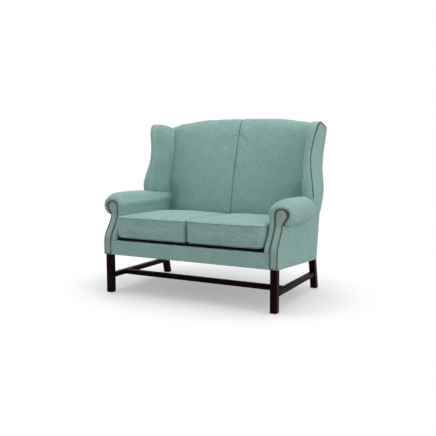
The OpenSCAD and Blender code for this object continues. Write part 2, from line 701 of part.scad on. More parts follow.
// A point of the section at depth y, kept over the crease
function over_crease(i, p, y) = i < arm_points / 2 ? [p[0], y, p[1]]
  : [p[0], y, max(p[1], crease_z(y) + (i == arm_points - 1 ? 0 : fit))];

// [point on the pad, point on the timber] of point i in row k
function arm_pair(i, k) = let (
    front = swell_rows + full_rows, lift = dome * roll_lift(i), run = run_back(i),
    full = arm_section(arm_sweep + run, front_low, i), y_full = face_y(full[1]) - lift + run)
  k <= front ? let (
      t = k < swell_rows ? k / swell_rows : (k - swell_rows) / full_rows,
      g = k < swell_rows ? mix(0.1, swell_share, 1 - cos(90 * t)) : mix(swell_share, 1, sin(90 * t)),
      head = core_section(arm_sweep, front_low, 0)[i], p = mix(head, full, g),
      first = face_y(p[1]) + 5 * fit, at_post = sweep(head[1]) + fit,
      y = k < swell_rows ? first - (lift + 5 * fit) * sin(90 * t)
        : face_y(p[1]) - lift + run * (1 - cos(90 * t)),
      y_in = k <= swell_rows ? mix(first, at_post, k / swell_rows)
        : mix(at_post + post_d - 2 * fit, max(y_full, at_post + post_d), (k - swell_rows - 1) / full_rows),
      core = core_section(y_in, front_low, k > swell_rows ? 1 : 0)[i])
    [over_crease(i, p, y), over_crease(i, core, max(y, y_in))]
  : let (
      q = (k - front) / rear_rows, last = arm_section(arm_end(i, full[1]), front_low, i),
      y = mix(y_full, arm_end(i, last[1]), q), f = arm_section(y, front_low, i),
      core = core_section(y, front_low, 1)[i], p = mix(f, core, q > 0.99 ? 0.3 : q > 0.8 ? 0.04 : 0))
    q < 0.99 ? [over_crease(i, p, y), over_crease(i, core, y)]
    : [over_crease(i, p, arm_end(i, p[1])),
      over_crease(i, core, arm_end(i, runs_back(i) ? core[1] : max(p[1], core[1])))];

module arm_pad() {
  pairs = [for (k = [0 : swell_rows + full_rows + rear_rows])
    [for (i = [0 : arm_points - 1]) arm_pair(i, k)]];
  color(cloth) sheet([for (row = pairs) [for (p = row) p[1]]],
    [for (row = pairs) [for (p = row) p[0]]]);
}

module outside_arm() {
  across = [0, 0.012, 0.04, 0.1, 0.18, 0.3, 0.45, 0.6, 0.75, 0.9, 0.99, 1];
  edge = function (s) s == 0 ? -skin * 0.8 : s == 1 ? -skin * 0.8 : s < 0.02 || s > 0.98 ? -skin * 0.25 : 0;
  grid = function (out) [for (j = [0 : 6]) [for (s = across) let (
      z_front = mix(body_z, crease_z(0) - 3 * fit, j / 6),
      y = mix(sweep(z_front) + fit, rear_line(mix(knee_z, crease_z(base_d), j / 6)), s),
      z = mix(body_bottom(y), crease_z(y) - 3 * fit, j / 6))
    [out ? side_x(y, z) + edge(s) : half_w + fit + spread(y), y, z]]];
  color(cloth) sheet(grid(false), grid(true));
}

// Back

// Side view of an upright between two depths, from a level z up to w along the back
module upright_outline(z, near, far, w) {
  top_far = on_back(0, far, w);
  top_near = on_back(0, near, w);
  polygon([[back_y(z) - far / cos_lean, z], [back_y(z) - near / cos_lean, z],
    [top_near[1], top_near[2]], [top_far[1], top_far[2]]]);
}

top_rail_w = rail_top_share * crest(1) - top_rail_h;

module back_post() {
  color(beech) yz(board_out - post_w, board_out)
    upright_outline(rail_top(base_d), cover_t + fit, frame_t, top_rail_w);
}

module back_centre_upright() {
  color(beech) yz(-centre_w / 2, centre_w / 2)
    upright_outline(rail_top(base_d), cover_t + fit, frame_t - tack_w, top_rail_w);
}

back_stations = [0, 0.025, 0.06, 0.14, 0.26, 0.4, 0.54, 0.66, 0.76, 0.84, 0.9, 0.945, 0.975, 1];

back_half = junction_x(crest_w) - join_gap / 2;

module back_top_rail() {
  top = concat([for (u = back_stations) [u * back_half, rail_top_share * crest(u)]],
    [[board_out - fit, rail_top_share * crest(1)]]);
  color(beech) back_plane() translate([0, -cover_t - fit, 0]) rotate([90, 0, 0])
    linear_extrude(upright_t) polygon(concat(
      [for (k = [len(top) - 1 : -1 : 1]) [-top[k][0], top[k][1]]], top,
      [[board_out - fit, top_rail_w], [fit - board_out, top_rail_w]]));
}

module back_tacking_rail() {
  x = board_out - post_w;
  color(beech) back_plane() translate([-x, -frame_t, foot_w + tack_h])
    cube([2 * x, tack_w, tack_h]);
}

module back_webbing() {
  x = board_in - 4 * fit;
  first = foot_w + 3 * tack_h;
  last = top_rail_w - strap_w - strap_t;
  n = round((last - first) / strap_step);
  color("#b9a98a") back_plane() for (k = [0 : n])
    translate([-x, -frame_t - strap_t - fit / 2, mix(first, last, k / n)])
      cube([2 * x, strap_t, strap_w]);
}

// Column of the inside back at share u of its half width: padded surface, and what it lies on
function back_column(u, out) = let (
    k = (crest(u) - foot_w) / (crest_w - foot_w),
    seam = seam_dip * (1 - ease(u / 0.06)))
  [for (i = [0 : len(back_curve) - 1]) let (
      t = back_curve[i][0], w = foot_w + (back_curve[i][1] - back_curve[0][1]) * k
        * (crest_w - foot_w) / (crest_w - back_curve[0][1]),
      over_rail = t < pad_t, below = fit / 8 * (len(back_curve) - i),
      x = u * (junction_x(w) - join_gap / 2) + (u == 0 ? fit / 2 : 0),
      lie = rail_top_share * crest(x / back_half) + fit)
    out ? on_back(x, t - drawn(t, w) * pow(u, 4) - seam * min(1, max(0, t - pad_t) / seam_dip), w)
      : on_back(x, over_rail ? min(t, pad_t - fit) : pad_t, over_rail ? lie : min(w - fit, lie - below))];

module inside_back() {
  color(cloth) sheet([for (u = back_stations) back_column(u, true)],
    [for (u = back_stations) back_column(u, false)]);
}

module outside_back() {
  low = (knee_z - body_z) / cos_lean;
  end = wing_edge[wing_stations - 1];
  top = (end[1] - body_z) / cos_lean - skin;
  side = [for (k = [0 : 24]) let (w = mix(low, top, k / 24), z = body_z + w * cos_lean)
    [side_x(base_d, z) - skin, w]];
  crown = [for (k = [len(back_stations) - 1 : -1 : 0])
    [back_stations[k] * back_half, panel_top_share * crest(back_stations[k])]];
  half = concat(side, [[board_out, top]], crown);
  color(cloth) back_plane() rotate([90, 0, 0]) linear_extrude(cover_t) polygon(concat(half,
    [for (k = [len(half) - 2 : -1 : 0]) [-half[k][0], half[k][1]]]));
}

// Wings

// Point of the wing's edge k, moved in from it by a distance
function edge_in(k, d) = wing_edge[k] - d * wing_normal(k);

post_last = 15;

module wing_post() {
  outer = [for (k = [2 : post_last]) edge_in(k, fit)];
  inner = [for (k = [post_last : -1 : 2]) edge_in(k, board_w)];
  foot_y = roll_end(head_top) + 4 * fit;
  color(beech) yz(board_in, board_out) polygon(concat([[foot_y, head_top]], outer, inner,
    [[foot_y + board_w, head_top]]));
}

module wing_rail() {
  last = wing_stations - 1;
  outer = [for (k = [post_last : last]) edge_in(k, fit)];
  inner = [for (k = [post_last : last - 4]) edge_in(k, board_w)];
  n = len(inner) - 1;
  color(beech) intersection() {
    yz(board_in, board_out) polygon(concat(outer, [for (k = [n : -1 : 0]) inner[k]]));
    yz(board_in - over, board_out + over) polygon([[0, body_z], [post_front(body_z), body_z],
      [post_front(back_h), back_h], [0, back_h]]);
  }
}

// Height along the back of the crease beside row k of the wing pad
front_rows = 16;
function crease_w(k) = let (
    low = (arm_top(throat + arm_a(base_d) / 2, base_d * 0.92) - body_z) / cos_lean,
    mid = crest(1) * 0.84, top = crest(1) * 0.96)
  k <= front_rows ? mix(low, mid, k / front_rows)
    : mix(mid, top, (k - front_rows) / (wing_stations - 1 - front_rows));

function wing_row(k, out) = let (
    e = wing_edge[k], n = wing_normal(k), s = k / (wing_stations - 1),
    w = crease_w(k), x_out = side_x(e[0], e[1]),
    x_in = min(x_out - wing_t * look(wing_thick_shares, s), board_in - 2 * skin),
    x_j = junction_x(w) + join_gap / 2,
    deep = wing_t / 2 * look(wing_roll_shares, s),
    at_frame = on_back(x_j, pad_t, w), at_crease = on_back(x_j, max(pad_t + 2 * fit, look(edge_table, w)), w),
    mid = (x_in + x_out) / 2, half = (x_out - x_in) / 2,
    face = [at_frame, at_crease, each [for (m = [0.3, 0.6, 0.88])
      let (q = mix([at_crease[1], at_crease[2]], e, m)) [mix(x_j, x_in, m), q[0], q[1]]]],
    lie = board_in - fit, off = board_out + fit)
  out ? concat(face, [for (a = [0 : 30 : 180])
      let (q = e + n * deep * sin(a)) [mid - half * cos(a), q[0], q[1]]])
    : concat([for (p = face) [lie, p[1], p[2]]],
      [for (p = [[lie, 0], [lie, fit], [mix(lie, off, 0.3), fit], [mix(lie, off, 0.6), fit],
        [off, fit], [mix(off, x_out - skin, 0.6), fit], [x_out - skin, fit]])
        let (q = e + n * p[1]) [p[0], q[0], q[1]]]);

// The lowest rows lie on the arm, their points moved up along the wing's edge
edge_rise = [for (k = [0 : front_rows]) [wing_edge[k][1], wing_edge[k][0]]];
function seated(row, k) = let (rear = row[0][1], run = rear - wing_edge[k][0])
  [for (p = row) let (
    z = max(p[2], arm_top(p[0], p[1]) + seat_sag + fit * (k + 1)),
    share = min(1, max(0, (rear - p[1]) / run)))
    [p[0], p[1] + share * (lookup(z, edge_rise) - lookup(p[2], edge_rise)), z]];

module wing_pad() {
  grid = function (out) [for (k = [0 : wing_stations - 1])
    k < 4 ? seated(wing_row(k, out), k) : wing_row(k, out)];
  color(cloth) sheet(grid(false), grid(true));
}

// Front line of the outside wing: up the end of the arm roll, then up the wing's edge
roll_line = [for (s = [0.02, 0.1, 0.2, 0.3, 0.4, 0.58, 0.72]) let (
    z = mix(crease_z(base_d), arm_crest(base_d), s)) [roll_end(z) + 4 * fit, z + 2 * fit]];
outside_front = concat(roll_line, [for (k = [0 : wing_stations - 1]) edge_in(k, fit)]);

function outside_rear(k) = let (
    lower = len(roll_line), top = wing_edge[wing_stations - 1][1],
    z = outside_front[k][1], turn = lower + front_rows - 3, z_turn = outside_front[turn][1] - wing_t,
    z_arm = outside_front[lower][1], z_low = crease_z(base_d),
    zr = k < lower ? mix(z_low, z_arm, k / lower)
      : k < turn ? mix(z_arm, z_turn, (k - lower) / (turn - lower))
      : mix(z_turn, top, (k - turn) / (len(outside_front) - 1 - turn)))
  [rear_line(zr), zr];

module outside_wing() {
  across = [0, 0.03, 0.09, 0.3, 0.55, 0.8, 0.94, 0.985, 1];
  edge = function (s) s == 0 ? -skin * 0.3 : s == 1 ? -skin * 0.8 : s > 0.98 ? -skin * 0.25 : 0;
  grid = function (out) [for (k = [0 : len(outside_front) - 1]) [for (s = across) let (
      q = mix(outside_front[k], outside_rear(k), s))
    [out ? max(side_x(q[0], q[1]) + edge(s), board_out + skin / 2) : board_out + fit, q[0], q[1]]]];
  color(cloth) sheet(grid(false), grid(true));
}

module wing_nails() {
  line3 = [for (k = [1 : wing_stations - 1]) let (e = wing_edge[k], n = wing_normal(k),
      x = side_x(e[0], e[1])) [x, e[0], e[1], n[0], n[1]]];
  color(brass) for (p = paced(line3, nail_pitch))
    nail_at([p[0] + fit, p[1] + p[3] * fit, p[2] + p[4] * fit], [1, p[3] * 0.35, p[4] * 0.35]);
}

placed() left() front_leg();  // front_leg_left
placed() front_leg();  // front_leg_right
placed() left() rear_leg();  // rear_leg_left
placed() rear_leg();  // rear_leg_right
placed() leg_glides();
placed() left() side_stretcher();  // side_stretcher_left
placed() side_stretcher();  // side_stretcher_right
placed() cross_stretcher();
placed() front_seat_rail();
placed() rear_seat_rail();
placed() left() side_seat_rail();  // side_seat_rail_left
placed() side_seat_rail();  // side_seat_rail_right
placed() centre_seat_rail();
placed() corner_blocks();
placed() left() seat_springs();  // seat_springs_left
placed() seat_springs();  // seat_springs_right
placed() spring_clips();
placed() seat_deck();
placed() dust_cover();
placed() front_border();
placed() left() seat_cushion();  // seat_cushion_left
placed() seat_cushion();  // seat_cushion_right
placed() left() arm_post();  // arm_post_left
placed() arm_post();  // arm_post_right
placed() left() arm_rail();  // arm_rail_left
placed() arm_rail();  // arm_rail_right
placed() left() arm_tacking_rail();  // arm_tacking_rail_left
placed() arm_tacking_rail();  // arm_tacking_rail_right
placed() left() arm_facing();  // arm_facing_left
placed() arm_facing();  // arm_facing_right
placed() left() arm_nails();  // arm_nails_left
placed() arm_nails();  // arm_nails_right
placed() left() arm_pad();  // arm_pad_left
placed() arm_pad();  // arm_pad_right
placed() left() outside_arm();  // outside_arm_left
placed() outside_arm();  // outside_arm_right
placed() left() back_post();  // back_post_left
placed() back_post();  // back_post_right
placed() back_top_rail();
placed() back_tacking_rail();
placed() back_centre_upright();
placed() back_webbing();
placed() left() inside_back();  // inside_back_left
placed() inside_back();  // inside_back_right
placed() outside_back();
placed() left() wing_post();  // wing_post_left
placed() wing_post();  // wing_post_right
placed() left() wing_rail();  // wing_rail_left
placed() wing_rail();  // wing_rail_right
placed() left() wing_pad();  // wing_pad_left
placed() wing_pad();  // wing_pad_right
placed() left() outside_wing();  // outside_wing_left
placed() outside_wing();  // outside_wing_right
placed() left() wing_nails();  // wing_nails_left
placed() wing_nails();  // wing_nails_right
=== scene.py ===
import math

import bmesh
import bpy
import numpy as np
from bpy.props import FloatProperty, FloatVectorProperty, IntProperty, PointerProperty
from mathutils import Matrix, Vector, noise
from mathutils.bvhtree import BVHTree


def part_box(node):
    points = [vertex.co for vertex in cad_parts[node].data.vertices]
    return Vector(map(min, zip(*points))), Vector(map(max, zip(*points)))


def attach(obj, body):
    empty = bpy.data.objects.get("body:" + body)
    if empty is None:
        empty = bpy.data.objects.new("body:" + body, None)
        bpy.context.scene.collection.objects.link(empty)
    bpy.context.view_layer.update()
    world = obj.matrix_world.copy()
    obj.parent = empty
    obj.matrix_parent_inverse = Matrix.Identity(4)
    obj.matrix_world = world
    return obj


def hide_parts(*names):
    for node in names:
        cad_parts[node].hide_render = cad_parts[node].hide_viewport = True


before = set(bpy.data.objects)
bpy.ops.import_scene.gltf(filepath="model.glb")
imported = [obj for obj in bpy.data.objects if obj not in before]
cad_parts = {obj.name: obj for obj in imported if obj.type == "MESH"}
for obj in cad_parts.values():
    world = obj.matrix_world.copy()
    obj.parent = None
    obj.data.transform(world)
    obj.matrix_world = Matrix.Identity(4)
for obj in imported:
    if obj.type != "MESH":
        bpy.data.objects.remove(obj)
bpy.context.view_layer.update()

bl_info = {
    "name": "High back settee",
    "version": (1, 0, 0),
    "blender": (4, 5, 0),
    "location": "View3D > Sidebar > Settee",
    "description": "Upholstery, woodwork, trim and studio of a high back settee",
    "category": "Object",
}


def linear(code):
    """An sRGB hex colour as linear red, green and blue."""
    parts = [int(code[i:i + 2], 16) / 255 for i in (1, 3, 5)]
    return tuple(c / 12.92 if c <= 0.04045 else ((c + 0.055) / 1.055) ** 2.4 for c in parts)


def colour(name, description, code):
    return FloatVectorProperty(name=name, description=description, subtype="COLOR", size=3,
                               min=0, max=1, default=linear(code))


def length(name, description, default, low, high):
    return FloatProperty(name=name, description=description, default=default, min=low, max=high,
                         subtype="DISTANCE", unit="LENGTH", precision=4)


class SetteeCloth(bpy.types.PropertyGroup):
    """The cover cloth and the padding under it."""

    cover: colour("Cover", "Colour of the cover cloth in full light", "#9DC1BB")
    cover_deep: colour("Cover, low threads", "Colour of the threads that lie deeper", "#80A19B")
    lining: colour("Lining", "Colour of the deck and dust cover cloth", "#1C1B1D")
    thread: length("Thread spacing", "Spacing of the threads as drawn", 0.0024, 0.0008, 0.006)
    cushion_swell: length("Cushion swell", "How far a seat cushion swells", 0.004, 0.0, 0.02)
    pad_swell: length("Pad swell", "How far backs, arms and wings swell", 0.0032, 0.0, 0.01)
    facing_swell: length("Facing swell", "How far the arm facings swell", 0.0016, 0.0, 0.004)
    ripple: length("Ripple", "Height of the slight waves in taut cloth", 0.0011, 0.0, 0.004)


class SetteeWood(bpy.types.PropertyGroup):
    """Show wood, frame timber and metal."""

    show_wood: colour("Show wood", "Colour of the legs and stretchers", "#240A06")
    show_grain: colour("Show wood grain", "Colour of the dark grain lines", "#110302")
    timber: colour("Frame timber", "Colour of the planed frame", "#C8A573")
    # The nails' rims are painted near black from this colour as shade; the crowns show it
    nail: colour("Nail heads", "Colour of the rubbed crowns of the nails", "#B98569")
    edge: length("Edge rounding", "Rounding of the legs' edges", 0.0022, 0.0005, 0.006)


class SetteeStudio(bpy.types.PropertyGroup):
    """Camera, floor and lamps."""

    lens: FloatProperty(name="Lens", description="Focal length", default=49.84, min=20, max=120,
                        unit="CAMERA")
    height: length("Camera height", "Height of the camera above the floor", 0.9299, 0.2, 3)
    turn: FloatProperty(name="Turn", description="Turn of the camera about the upright",
                        default=math.radians(26.904), subtype="ANGLE")
    tilt: FloatProperty(name="Tilt", description="How far the camera looks down",
                        default=math.radians(6.757), subtype="ANGLE")
    dome: FloatProperty(name="Dome light", description="Strength of the soft light from above",
                        default=0.83, min=0, max=3)
    horizon: FloatProperty(name="Horizon light", description="Strength of the light from around",
                           default=0.26, min=0, max=3)
    overhead: FloatProperty(name="Overhead lamp", description="Power of the lamp above, in watts",
                            default=38, min=0, max=500, unit="POWER")
    side: FloatProperty(name="Side lamp", description="Power of the lamp at the right, in watts",
                        default=27, min=0, max=500, unit="POWER")
    fill: FloatProperty(name="Fill lamp", description="Power of the lamp at the left, in watts",
                        default=9, min=0, max=500, unit="POWER")
    shadow: FloatProperty(name="Shadow", description="How dark the floor's shadow looks",
                          default=0.66, min=0, max=1, subtype="FACTOR")


class Settee(bpy.types.PropertyGroup):
    """Everything that a user would change."""

    cloth: PointerProperty(type=SetteeCloth)
    wood: PointerProperty(type=SetteeWood)
    studio: PointerProperty(type=SetteeStudio)
    seed: IntProperty(name="Seed", description="Start of every pattern", default=7, min=0)


def settings():
    return bpy.context.scene.settee


# Materials

def wire(tree, node, inputs):
    """Links each input of a shader node to a socket, or sets its value."""
    for socket, value in inputs.items():
        if isinstance(value, bpy.types.NodeSocket):
            tree.links.new(value, node.inputs[socket])
        else:
            node.inputs[socket].default_value = value


def add(tree, kind, inputs=None, **values):
    """Adds a shader node, with its settings and its inputs."""
    node = tree.nodes.new("ShaderNode" + kind)
    for name, value in values.items():
        setattr(node, name, value)
    wire(tree, node, inputs or {})
    return node


def mixed(tree, share, low, high):
    """A colour between two."""
    return add(tree, "Mix", {0: share, 6: low, 7: high}, data_type="RGBA").outputs[2]


def ranged(tree, value, low, high, to_low=0.0, to_high=1.0):
    """A value brought from one range to another."""
    return add(tree, "MapRange", {0: value, 1: low, 2: high, 3: to_low, 4: to_high}).outputs[0]


def rgba(values, share=1):
    """A colour with its alpha, made lighter or darker by a share."""
    return (*(min(1, c * share) for c in values[:3]), 1)


def new_material(name):
    material = bpy.data.materials.get(name)
    if material:
        return material, None, None
    material = bpy.data.materials.new(name)
    material.use_nodes = True
    tree = material.node_tree
    return material, tree, tree.nodes["Principled BSDF"]


def woven_wool_cloth():
    """Plain woven wool-look cover: matt, mottled by uneven yarn, with a soft bloom at the edges."""
    material, tree, shader = new_material("woven_wool_cloth")
    if tree is None:
        return material
    cloth = settings().cloth
    place = add(tree, "TexCoord")
    # The weave is drawn about three times as coarse as real threads of 0.8 mm, so that it shows
    weave = add(tree, "UVMap", uv_map="Weave").outputs[0]
    scale = 1 / cloth.thread
    split = add(tree, "SeparateXYZ", {0: weave})
    turn = math.tau / 2 * scale
    warp = add(tree, "Math", {0: split.outputs[0], 1: turn}, operation="MULTIPLY").outputs[0]
    weft = add(tree, "Math", {0: split.outputs[1], 1: turn}, operation="MULTIPLY").outputs[0]
    warp_wave = add(tree, "Math", {0: warp}, operation="SINE").outputs[0]
    weft_wave = add(tree, "Math", {0: weft}, operation="SINE").outputs[0]
    threads = add(tree, "Math", {0: warp_wave, 1: weft_wave}, operation="MULTIPLY").outputs[0]
    # Uneven yarn: slubs 6 mm wide and 14 mm long both ways, and fine fuzz between them
    along = add(tree, "Mapping", {0: weave, 3: (170.0, 70.0, 1.0)}).outputs[0]
    across = add(tree, "Mapping", {0: weave, 3: (70.0, 170.0, 1.0)}).outputs[0]
    slub_up = add(tree, "TexNoise", {"Vector": along, "Scale": 1.0, "Detail": 3.0,
                                     "Roughness": 0.65}).outputs[0]
    slub_side = add(tree, "TexNoise", {"Vector": across, "Scale": 1.0, "Detail": 3.0,
                                       "Roughness": 0.65}).outputs[0]
    fuzz = add(tree, "TexNoise", {"Vector": place.outputs["Object"], "Scale": 900.0,
                                  "Detail": 1.0})
    # Clouds of about 60 mm, where the dye took unevenly
    cloud = add(tree, "TexNoise", {"Vector": place.outputs["Object"], "Scale": 16.0,
                                   "Detail": 2.0}).outputs[0]
    slub = add(tree, "Math", {0: slub_up, 1: slub_side}, operation="ADD").outputs[0]
    level = add(tree, "Math", {0: cloud, 1: 0.3, 2: slub}, operation="MULTIPLY_ADD").outputs[0]
    level = add(tree, "Math", {0: threads, 1: 0.08, 2: level}, operation="MULTIPLY_ADD").outputs[0]
    tone = ranged(tree, level, 0.92, 1.38)
    paint = mixed(tree, tone, rgba(cloth.cover_deep), rgba(cloth.cover))
    height = add(tree, "Math", {0: slub, 1: 1.5, 2: threads},
                 operation="MULTIPLY_ADD").outputs[0]
    height = add(tree, "Math", {0: fuzz.outputs[0], 1: 0.5, 2: height},
                 operation="MULTIPLY_ADD").outputs[0]
    bump = add(tree, "Bump", {"Strength": 0.35, "Distance": 0.0004, "Height": height})
    wire(tree, shader, {
        "Base Color": paint, "Roughness": ranged(tree, level, 0.9, 1.4, 0.95, 0.84),
        "Normal": bump.outputs[0], "Specular IOR Level": 0.25, "Sheen Weight": 0.07,
        "Sheen Roughness": 0.5, "Sheen Tint": (0.8, 0.95, 0.92, 1)})
    return material


def seam_thread_painted_shade():
    """Twisted polyester thread in a drawn-down seam: the cover's colour, darkened as painted shade
    of the seam's groove.
    """
    material, tree, shader = new_material("seam_thread_painted_shade")
    if tree is None:
        return material
    base = settings().cloth.cover_deep
    place = add(tree, "TexCoord").outputs["Object"]
    # Stitches about 3 mm long
    stitch = add(tree, "TexNoise", {"Vector": place, "Scale": 330.0, "Detail": 2.0}).outputs[0]
    # Painted shade: the thread is drawn at 0.3 to 0.55 of the cover's deep colour, the shade in the
    # seam's groove
    wire(tree, shader, {"Base Color": mixed(tree, stitch, rgba(base, 0.3), rgba(base, 0.55)),
                        "Roughness": ranged(tree, stitch, 0.3, 0.7, 0.95, 0.8)})
    return material


def black_lining_cloth():
    """Black platform cloth, plain woven: quite matt, with a faint grey bloom of lint."""
    material, tree, shader = new_material("black_lining_cloth")
    if tree is None:
        return material
    cloth = settings().cloth
    place = add(tree, "TexCoord").outputs["Object"]
    lint = add(tree, "TexNoise", {"Vector": place, "Scale": 60.0, "Detail": 4.0})
    weave = add(tree, "TexVoronoi", {"Vector": place, "Scale": 600.0})
    paint = mixed(tree, lint.outputs[0], rgba(cloth.lining), (0.02, 0.02, 0.022, 1))
    bump = add(tree, "Bump", {"Strength": 0.3, "Distance": 0.0003, "Height": weave.outputs[0]})
    wire(tree, shader, {"Base Color": paint, "Normal": bump.outputs[0], "Roughness": 0.92,
                        "Specular IOR Level": 0.2})
    return material


def stained_mahogany(axis):
    """Mahogany stained near black and polished to a satin: long pores run along each piece."""
    material, tree, shader = new_material("stained_mahogany_" + "xyz"[axis])
    if tree is None:
        return material
    wood = settings().wood
    place = add(tree, "TexCoord").outputs["Object"]
    # Pores about 0.4 mm across and 12 mm long; figure bands about 14 mm apart
    stretch = [70.0, 70.0, 70.0]
    stretch[axis] = 5.0
    along = add(tree, "Mapping", {0: place, 3: stretch}, vector_type="POINT").outputs[0]
    figure = add(tree, "TexNoise", {"Vector": along, "Scale": 1.0, "Detail": 5.0,
                                    "Roughness": 0.6, "Distortion": 0.8})
    pores = add(tree, "TexNoise", {"Vector": along, "Scale": 16.0, "Detail": 2.0})
    pore = ranged(tree, pores.outputs[0], 0.36, 0.5)
    paint = mixed(tree, figure.outputs[0], rgba(wood.show_grain), rgba(wood.show_wood))
    wear = add(tree, "TexNoise", {"Vector": place, "Scale": 22.0, "Detail": 3.0})
    bump = add(tree, "Bump", {"Strength": 0.1, "Distance": 0.0002, "Height": pore})
    wire(tree, shader, {
        "Base Color": mixed(tree, pore, (0.003, 0.0012, 0.001, 1), paint),
        "Roughness": ranged(tree, wear.outputs[0], 0.3, 0.7, 0.36, 0.5),
        "Normal": bump.outputs[0], "Specular IOR Level": 0.03})
    return material


def planed_beech(axis):
    """Planed beech frame: pale and dry, with short dark flecks and faint rings."""
    material, tree, shader = new_material("planed_beech_" + "xyz"[axis])
    if tree is None:
        return material
    place = add(tree, "TexCoord").outputs["Object"]
    # Rings about 9 mm apart, flecks 1 mm by 6 mm
    stretch = [110.0, 110.0, 110.0]
    stretch[axis] = 7.0
    along = add(tree, "Mapping", {0: place, 3: stretch}, vector_type="POINT").outputs[0]
    rings = add(tree, "TexNoise", {"Vector": along, "Scale": 1.0, "Detail": 4.0,
                                   "Distortion": 1.2})
    flecks = add(tree, "TexNoise", {"Vector": along, "Scale": 9.0, "Detail": 1.0})
    fleck = ranged(tree, flecks.outputs[0], 0.3, 0.42)
    base = settings().wood.timber
    paint = mixed(tree, rings.outputs[0], rgba(base, 0.72), rgba(base, 1.15))
    bump = add(tree, "Bump", {"Strength": 0.2, "Distance": 0.0002, "Height": fleck})
    wire(tree, shader, {"Base Color": mixed(tree, fleck, rgba(base, 0.45), paint),
                        "Normal": bump.outputs[0], "Roughness": 0.62})
    return material


def antique_brass():
    """Antiqued brass nail heads, browned in a bath, with painted shade: their rims are painted near
    black, so the crowns show lighter.
    """
    material, tree, shader = new_material("antique_brass")
    if tree is None:
        return material
    wood = settings().wood
    place = add(tree, "TexCoord").outputs["Object"]
    tarnish = add(tree, "TexNoise", {"Vector": place, "Scale": 130.0, "Detail": 4.0,
                                     "Roughness": 0.65})
    # The crowns of the heads face out of the arm's front or the wing's side, their rims don't; the
    # rims are painted near black as shade
    facing = add(tree, "SeparateXYZ", {0: add(tree, "TexCoord").outputs["Normal"]})
    front = add(tree, "Math", {0: facing.outputs[1]}, operation="ABSOLUTE").outputs[0]
    side = add(tree, "Math", {0: facing.outputs[0]}, operation="ABSOLUTE").outputs[0]
    out = add(tree, "Math", {0: front, 1: side}, operation="MAXIMUM").outputs[0]
    crown_outside_painted_shade = ranged(tree, out, 0.86, 0.95)
    paint = mixed(tree, tarnish.outputs[0], rgba(wood.nail, 0.6), rgba(wood.nail, 1.3))
    # Painted shade: the rims are drawn at 0.03 of the nail colour
    wire(tree, shader, {
        "Base Color": mixed(tree, crown_outside_painted_shade, rgba(wood.nail, 0.03), paint),
        "Roughness": ranged(tree, tarnish.outputs[0], 0.3, 0.7, 0.5, 0.3), "Metallic": 0.85})
    return material


def drawn_spring_steel():
    """Drawn and oiled spring wire: grey, with fine lines along the draw and a few brown spots."""
    material, tree, shader = new_material("drawn_spring_steel")
    if tree is None:
        return material
    place = add(tree, "TexCoord").outputs["Object"]
    spots = add(tree, "TexNoise", {"Vector": place, "Scale": 90.0, "Detail": 4.0})
    rust = ranged(tree, spots.outputs[0], 0.58, 0.72)
    wire(tree, shader, {
        "Base Color": mixed(tree, rust, rgba(linear("#8B8E92")), rgba(linear("#6B5143"))),
        "Roughness": ranged(tree, spots.outputs[0], 0.3, 0.7, 0.28, 0.5), "Metallic": 1.0})
    return material


def woven_jute():
    """Jute webbing: coarse straw-brown yarn in a close twill."""
    material, tree, shader = new_material("woven_jute")
    if tree is None:
        return material
    place = add(tree, "TexCoord").outputs["Object"]
    # Yarn 2 mm apart
    across = add(tree, "TexWave", {"Vector": place, "Scale": 160.0, "Distortion": 1.5},
                 bands_direction="Z")
    along = add(tree, "TexWave", {"Vector": place, "Scale": 160.0, "Distortion": 1.5},
                bands_direction="X")
    yarn = add(tree, "Math", {0: across.outputs[1], 1: along.outputs[1]},
               operation="MULTIPLY").outputs[0]
    bump = add(tree, "Bump", {"Strength": 0.6, "Distance": 0.0005, "Height": yarn})
    wire(tree, shader, {
        "Base Color": mixed(tree, yarn, rgba(linear("#8E7A57")), rgba(linear("#C2AD83"))),
        "Normal": bump.outputs[0], "Roughness": 0.9})
    return material


def moulded_nylon():
    """Moulded nylon glide: off-white, slightly waxy, scuffed by the floor."""
    material, tree, shader = new_material("moulded_nylon")
    if tree is None:
        return material
    place = add(tree, "TexCoord").outputs["Object"]
    scuff = add(tree, "TexNoise", {"Vector": place, "Scale": 400.0, "Detail": 3.0}).outputs[0]
    wire(tree, shader, {
        "Base Color": mixed(tree, scuff, rgba(linear("#B9B5AC")), rgba(linear("#DEDCD5"))),
        "Roughness": ranged(tree, scuff, 0.3, 0.7, 0.35, 0.6)})
    return material


# Meshes

def merged(node):
    """A closed bmesh of a solid of the frame."""
    shape = bmesh.new()
    shape.from_mesh(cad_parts[node].data)
    bmesh.ops.remove_doubles(shape, verts=shape.verts, dist=1e-5)
    return shape


def put(shape, name, material):
    """Makes an object of a bmesh."""
    mesh = bpy.data.meshes.new(name)
    shape.to_mesh(mesh)
    shape.free()
    return place(mesh, name, material)


def place(mesh, name, material):
    mesh.name = name
    mesh.materials.clear()
    mesh.materials.append(material)
    mesh.shade_smooth()
    piece = bpy.data.objects.new(name, mesh)
    bpy.context.scene.collection.objects.link(piece)
    return piece


def evaluated(piece):
    """The mesh of a piece with its modifiers applied."""
    graph = bpy.context.evaluated_depsgraph_get()
    graph.update()
    return bpy.data.meshes.new_from_object(piece.evaluated_get(graph), depsgraph=graph)


def applied(piece):
    """Applies the modifiers of a piece."""
    mesh = evaluated(piece)
    piece.modifiers.clear()
    old = piece.data
    piece.data = mesh
    bpy.data.meshes.remove(old)
    return piece


def points(mesh):
    out = np.zeros(len(mesh.vertices) * 3)
    mesh.vertices.foreach_get("co", out)
    return out.reshape(-1, 3)


def normals(mesh):
    out = np.zeros(len(mesh.vertices) * 3, np.float32)
    mesh.vertex_normals.foreach_get("vector", out)
    return out.reshape(-1, 3).astype(float)


def set_points(mesh, where):
    mesh.vertices.foreach_set("co", where.ravel())
    mesh.update()


